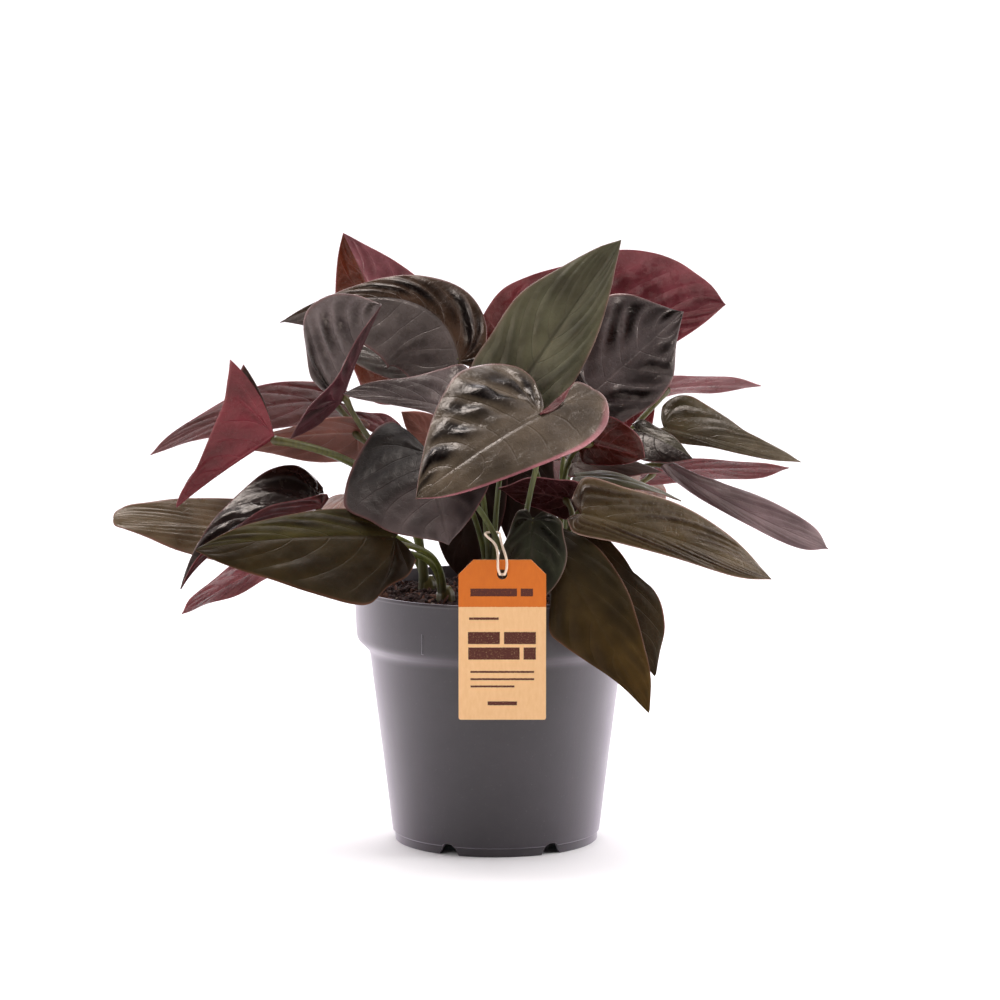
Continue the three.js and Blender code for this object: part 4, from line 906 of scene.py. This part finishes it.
def tag_material():
    """Card with fibres: an orange band over a tan field, and worn bars, on its front alone."""
    s = shader_of("tag_card")
    x, y, z = s.put("SeparateXYZ", Vector=s.place).outputs
    wobble = s.math("MULTIPLY_ADD", s.noise(1400.0, 2.0), 0.0003, -0.00015)
    x, z = s.math("ADD", x, wobble), s.math("ADD", z, wobble)
    fibre = s.noise(1.0, 5.0, 0.65, stretch=(700, 700, 240))
    paper = s.mix(fibre, linear((228, 176, 120)), linear((246, 202, 150)))
    ink = s.mix(fibre, linear((200, 98, 10)), linear((216, 114, 20)))
    line = TAG["top"] - TAG["band"]
    color = s.mix(s.ramp(z, (line - 0.05) * MM, (line + 0.05) * MM), paper, ink)
    marks = None
    for cx, cz, wide, tall in BARS:
        mask = box_mask(s, x, z, (TAG["x"] + cx) * MM, (TAG["top"] + cz) * MM, wide * MM, tall * MM)
        marks = mask if marks is None else s.math("MAXIMUM", marks, mask)
    worn = s.ramp(s.noise(1900.0, 3.0, 0.7), 0.25, 0.45, 0.55, 1.0)
    color = s.mix(s.times(marks, worn), color, linear((78, 26, 8)))
    back = s.mix(fibre, linear((214, 170, 122)), linear((232, 192, 146)))
    color = s.mix(s.ramp(y, (TAG["y"] + 0.2) * MM, (TAG["y"] + 0.1) * MM), back, color)
    return s.finish(s.skin(Base_Color=color, Roughness=0.75, Normal=s.relief((fibre, 0.25, 0.0001))))


def elastic_material():
    s = shader_of("tag_elastic")
    twist = s.put("TexWave", Vector=s.place, Scale=900.0, Distortion=1.5, Detail=2.0).outputs["Fac"]
    color = s.mix(twist, linear((232, 205, 178)), linear((250, 232, 210)))
    return s.finish(s.skin(Base_Color=color, Roughness=0.7, Normal=s.relief((twist, 0.5, 0.00012))))


def floor_material():
    s = shader_of("floor")
    speck = s.ramp(s.noise(6.0, 3.0), 0.3, 0.7, 0.985, 1.0)
    return s.finish(s.skin(Base_Color=s.shaded((0.9, 0.9, 0.9), speck), Roughness=0.9))


def studio():
    """A plain pale floor, a light tent that the camera sees as white, three lamps and the camera."""
    x, near, far = FLOOR
    floor = mesh_object("floor", [(-x, near, 0), (x, near, 0), (x, far, 0), (-x, far, 0)], [[0, 1, 2, 3]],
                        [floor_material()], smooth=False)

    scene.world = bpy.data.worlds.new("studio")
    s = Shader(scene.world)
    _, y, z = s.put("SeparateXYZ", Vector=s.coords["Generated"]).outputs
    tent = s.math("ADD", *(s.ramp(y, *step) for step in (TENT["sides"], TENT["behind"])))
    tent = s.times(tent, s.ramp(z, *TENT["above"]))
    lit = s.put("Background", Color=TENT["tone"], Strength=tent)
    seen = s.put("Background", Color=(1, 1, 1, 1), Strength=1.0)
    camera_ray = s.put("LightPath").outputs["Is Camera Ray"]
    s.finish(s.blend(camera_ray, lit.outputs[0], seen.outputs[0]), "World")

    for name, (place, aim, size, power, tone) in LAMPS.items():
        light = bpy.data.lights.new(name, "AREA")
        light.shape, light.size, light.size_y = "RECTANGLE", *size
        light.energy, light.color = power, tone
        lamp = bpy.data.objects.new(name, light)
        lamp.location = place
        lamp.rotation_euler = (Vector(aim) - Vector(place)).to_track_quat("-Z", "Y").to_euler()
        scene.collection.objects.link(lamp)

    camera = bpy.data.cameras.new("camera")
    camera.lens, camera.sensor_width = CAMERA["lens"], 36
    camera.clip_start, camera.clip_end = 0.1, 200
    eye = bpy.data.objects.new("camera", camera)
    eye.location = CAMERA["place"]
    eye.rotation_euler = (math.radians(90 - CAMERA["down"]), 0, 0)
    scene.collection.objects.link(eye)
    scene.camera = eye
    scene.view_settings.view_transform = "Standard"


# Petioles that are stouter than the rest
STOUT = ("left_red_arrow",)

# Bark: middle, then half sizes
BARK = [(50, 8, 6.2, 4.6, 4.2), (47, 2, 3.4, 2.6, 2.4), (51, 15, 3.6, 2.8, 2.2), (44, 10, 3, 3.4, 2.4)]

# Bars on the tag, from its top edge: middle across, middle down, width, height
BARS = [(-3.5, -13.4, 19, 3.2), (10, -13.4, 5, 3.2), (-7.5, -24.2, 12, 1), (-7.5, -32.2, 13, 5),
        (7.2, -32.2, 13, 5), (-3.4, -38.6, 21, 5), (11.2, -38.6, 5, 5), (0, -46.2, 26, 0.8),
        (0, -49.2, 26, 0.8), (-4, -52.2, 18, 0.8), (0, -59.2, 12, 1.6)]

# The mark of the mould on the pot's band, in metres: middle across and up, width, height
MOULD_MARK = (-0.0301, 0.0908, 0.0008, 0.0085)
POT_SHEEN = dict(IOR=1.5, Sheen_Weight=0.75, Sheen_Roughness=0.5, Sheen_Tint=(0.95, 0.88, 1, 1))
LEAF_GLOSS, LEAF_GLOW = (1, 0.84, 0.74, 1), (0.22, 0.07, 0.02)
# Earths by slot: name, dark tone, light tone, roughness, grain
SOILS = [("earth", (30, 17, 15), (64, 38, 32), 0.9, 700.0),
         ("bark", (62, 34, 26), (112, 72, 54), 0.85, 420.0),
         ("grit", (120, 104, 92), (168, 150, 132), 0.8, 800.0)]

# Floor: half its width, its front and its back in millimetres. Tent: brightness over the direction's y or z
# as from, to, and the values there. Lamps in metres and watts: place, aim, size, power, tone.
FLOOR = (30000, -6000, 60000)
TENT = dict(sides=(-0.75, 0.3, 0.06, 3.0), behind=(0.2, 1.0, 0.0, 2.6), above=(0.25, 0.9, 1.0, 0.3),
            tone=(1, 0.955, 0.985, 1))
LAMPS = {"top": ((-0.15, 0.12, 1.2), (0, 0, 0.15), (0.5, 0.4), 9, (1, 1, 1)),
         "key": ((-0.95, -1.15, 0.95), (0, 0, 0.12), (0.6, 0.6), 4.5, (1, 0.98, 0.95)),
         "right_strip": ((0.85, -0.15, 0.75), (0, 0, 0.15), (0.16, 0.6), 4, (1, 1, 1))}
CAMERA = dict(place=(0.00167, -1.8, 0.381), down=7.502, lens=155.52)

# Looks of the leaves by tint: relief in millimetres, the share of painted shade on the bulges, colours as
# seen (sRGB)
LOOK_KEYS = ("quilt", "groove", "rib", "painted_shade_share", "top", "under", "top_edge", "under_edge")
LOOKS = {
    "leaf_black": (1.4, 0.5, 0.35, 0.6, (52, 40, 36), (84, 30, 34), (104, 66, 64), (128, 66, 70)),
    "leaf_silver": (1.1, 0.5, 0.35, 0.5, (74, 64, 62), (92, 40, 48), (128, 92, 90), (132, 82, 86)),
    "leaf_green": (0.7, 0.5, 0.3, 0.35, (88, 88, 62), (140, 92, 84), (120, 94, 84), (166, 116, 108)),
    "leaf_olive": (0.9, 0.5, 0.35, 0.5, (60, 52, 26), (124, 80, 62), (100, 66, 50), (156, 104, 90)),
    "leaf_brown": (0.8, 0.45, 0.35, 0.45, (92, 78, 58), (132, 84, 74), (140, 98, 88), (166, 116, 106)),
    "leaf_red": (1.1, 0.4, 0.5, 0.45, (54, 36, 32), (112, 42, 46), (116, 68, 68), (140, 76, 80)),
    "leaf_pink": (0.9, 0.4, 0.45, 0.5, (62, 44, 38), (120, 66, 72), (130, 82, 82), (152, 96, 100)),
}

# Differences of single leaves from the look of their tint. quilt and painted_shade_share, the share of
# painted shade on the bulges, are given for both halves or for each; top_dark and under_dark colour that
# shade.
# lean tilts the side veins and veins counts them. rolled paints a rolled rim: which half, from where, how
# wide and its colour. shadow is a painted shadow that darkens the leaf towards its base.
OWN = {
    "front_heart": dict(quilt=(1.1, 2.9), top=(98, 85, 70), top_dark=(8, 5, 5), painted_shade_share=(0.3, 1.5),
        top_edge=(128, 96, 92), rolled=(0, 0.3, 0.08, (150, 92, 98))),
    "top_green": dict(top=(104, 102, 78), top_tip=(88, 88, 68), top_dark=(66, 68, 54), painted_shade_share=(0.5, 0.7),
        quilt=1.5, groove=0.9, lean=3.2, veins=11),
    "top_right_red": dict(under=(132, 62, 70), under_right=(134, 66, 74), under_base=(104, 44, 30),
        under_dark=(74, 22, 28), quilt=3.0),
    "top_left_red": dict(under=(146, 90, 96), under_right=(100, 46, 28), under_dark=(70, 28, 24), quilt=1.6),
    # right_dark, the left half of left_arching and left_silver: their light grey tops are painted sheen
    "right_dark": dict(quilt=2.8, top=(100, 90, 88), top_dark=(14, 9, 9), painted_shade_share=(1.3, 1.2)),
    "left_arching": dict(quilt=(1.0, 2.2), veins=13, top=(106, 96, 92), top_right=(74, 54, 40), top_dark=(14,
        9, 8), painted_shade_share=(0.4, 1.3)),
    "left_silver": dict(quilt=2.6, top=(124, 112, 110), top_dark=(26, 18, 18), painted_shade_share=(1.1, 1.1),
        under=(84, 42, 50), under_tip=(52, 26, 32)),
    "narrow_grey": dict(top=(104, 92, 90), top_dark=(44, 34, 34)),
    "left_under_strip": dict(top=(132, 128, 120), top_dark=(56, 50, 46)),
    # centre_black: its light grey tip is a painted reflection, and shadow paints shadow towards its base
    "centre_black": dict(quilt=1.2, top=(36, 28, 27), top_tip=(112, 98, 96), top_dark=(5, 3, 3), shadow=1.6),
    "left_red_arrow": dict(under=(112, 36, 46), under_dark=(76, 18, 26), quilt=1.3),
    "far_left_long": dict(lean=3, top=(104, 90, 68), top_dark=(70, 56, 38), top_tip=(126, 112, 88)),
    "left_folded_black": dict(shadow=0.5, quilt=2.3, top=(44, 34, 33), top_dark=(14, 9, 9), painted_shade_share=(1,
        0.9)),
    "front_left_big": dict(shadow=0.9, quilt=1.5, top=(58, 48, 26), top_right=(72, 66, 32), top_dark=(30, 24,
        14), painted_shade_share=(0.5, 0.8)),
    "low_right_big": dict(quilt=1.6, top=(56, 48, 28), top_tip=(88, 66, 28), top_dark=(32, 26, 16)),
    "low_right_behind": dict(top=(52, 44, 26), top_dark=(34, 26, 16)),
    "right_long": dict(quilt=1.5, lean=4, veins=12, top=(88, 74, 48), top_base=(66, 34, 28), top_dark=(44,
        30, 22), painted_shade_share=(0.8, 1.0), top_edge=(176, 140, 128)),
    "far_right_twisted": dict(lean=2.4, top=(96, 74, 76), top_tip=(150, 130, 132), top_dark=(58, 42, 44),
        top_edge=(140, 112, 116)),
    "right_olive": dict(lean=2.6, top=(84, 76, 54), top_tip=(140, 128, 108), top_dark=(46, 38, 28)),
    "right_amber": dict(under=(72, 26, 20), under_dark=(40, 14, 12), top=(60, 26, 18), quilt=0.6),
    "centre_purple": dict(top=(40, 20, 20), under=(52, 20, 24), top_dark=(24, 12, 12)),
    "small_above_tag": dict(shadow=0.6, quilt=1.3, top=(62, 66, 50), top_dark=(20, 22, 16), painted_shade_share=(1,
        1)),
    "right_small_dark": dict(top=(74, 70, 56), top_right=(36, 28, 26)),
    "left_mauve": dict(quilt=1.5, under=(104, 54, 56), under_dark=(70, 34, 30), under_tip=(136, 92, 92)),
    "low_left_red": dict(quilt=1.4, under=(112, 54, 58), under_dark=(84, 34, 40)),
    "right_thin_red": dict(under=(104, 44, 50)),
    "right_thin_pink": dict(under=(150, 96, 100)),
}

# Skin by tint: roughness, vein tone and share above, then below, and the light let through
SKINS = {
    "leaf_black": (0.22, (0.05, 0.04, 0.032), 0.12, 0.36, (0.2, 0.06, 0.06), 0.25, 0.12),
    "leaf_silver": (0.25, (0.1, 0.085, 0.08), 0.12, 0.38, (0.22, 0.08, 0.09), 0.25, 0.12),
    "leaf_green": (0.36, (0.035, 0.04, 0.022), 0.45, 0.45, (0.34, 0.2, 0.16), 0.3, 0.16),
    "leaf_olive": (0.26, (0.05, 0.04, 0.018), 0.1, 0.42, (0.32, 0.17, 0.12), 0.3, 0.16),
    "leaf_brown": (0.3, (0.12, 0.1, 0.06), 0.12, 0.45, (0.32, 0.17, 0.13), 0.3, 0.18),
    "leaf_red": (0.36, (0.05, 0.025, 0.02), 0.2, 0.22, (0.3, 0.08, 0.09), 0.25, 0.16),
    "leaf_pink": (0.38, (0.07, 0.04, 0.035), 0.2, 0.3, (0.36, 0.17, 0.17), 0.25, 0.16),
}

# Leaves with less gloss above: how much rougher, and their index of refraction
MATT = ("centre_black", "front_left_big", "low_right_big", "low_right_behind", "back_low_left",
        "back_low_right")
MATT_ROUGHER, MATT_IOR = 0.2, 1.24


def main():
    skins = {}
    for tint, (rough, vein, share, rough_under, vein_under, share_under, glow) in SKINS.items():
        skins[tint] = [leaf_material(tint + "_top", False, rough, vein, share, glow),
                       leaf_material(tint + "_under", True, rough_under, vein_under, share_under, glow)]
    for tint in {"leaf_" + BLADES[name]["tint"]: None for name in MATT}:
        rough, vein, share, *_, glow = SKINS[tint]
        matt = leaf_material(tint + "_matt", False, rough + MATT_ROUGHER, vein, share, glow, MATT_IOR)
        skins[tint + "_matt"] = [matt, skins[tint][1]]
    for name, row in BLADES.items():
        tint = "leaf_" + row["tint"]
        look = dict(zip(LOOK_KEYS, LOOKS[tint])) | OWN.get(name, {})
        blade_object(name, row, look, skins[tint + "_matt" if name in MATT else tint])
    stem = stalk_material()
    for key in PLANTS:
        stalks_object(key, stem)
    pot_object(pot_material())
    soil_object([earth_material(*row) for row in SOILS])
    tag_object(tag_material())
    elastic_object(elastic_material())
    studio()


main()
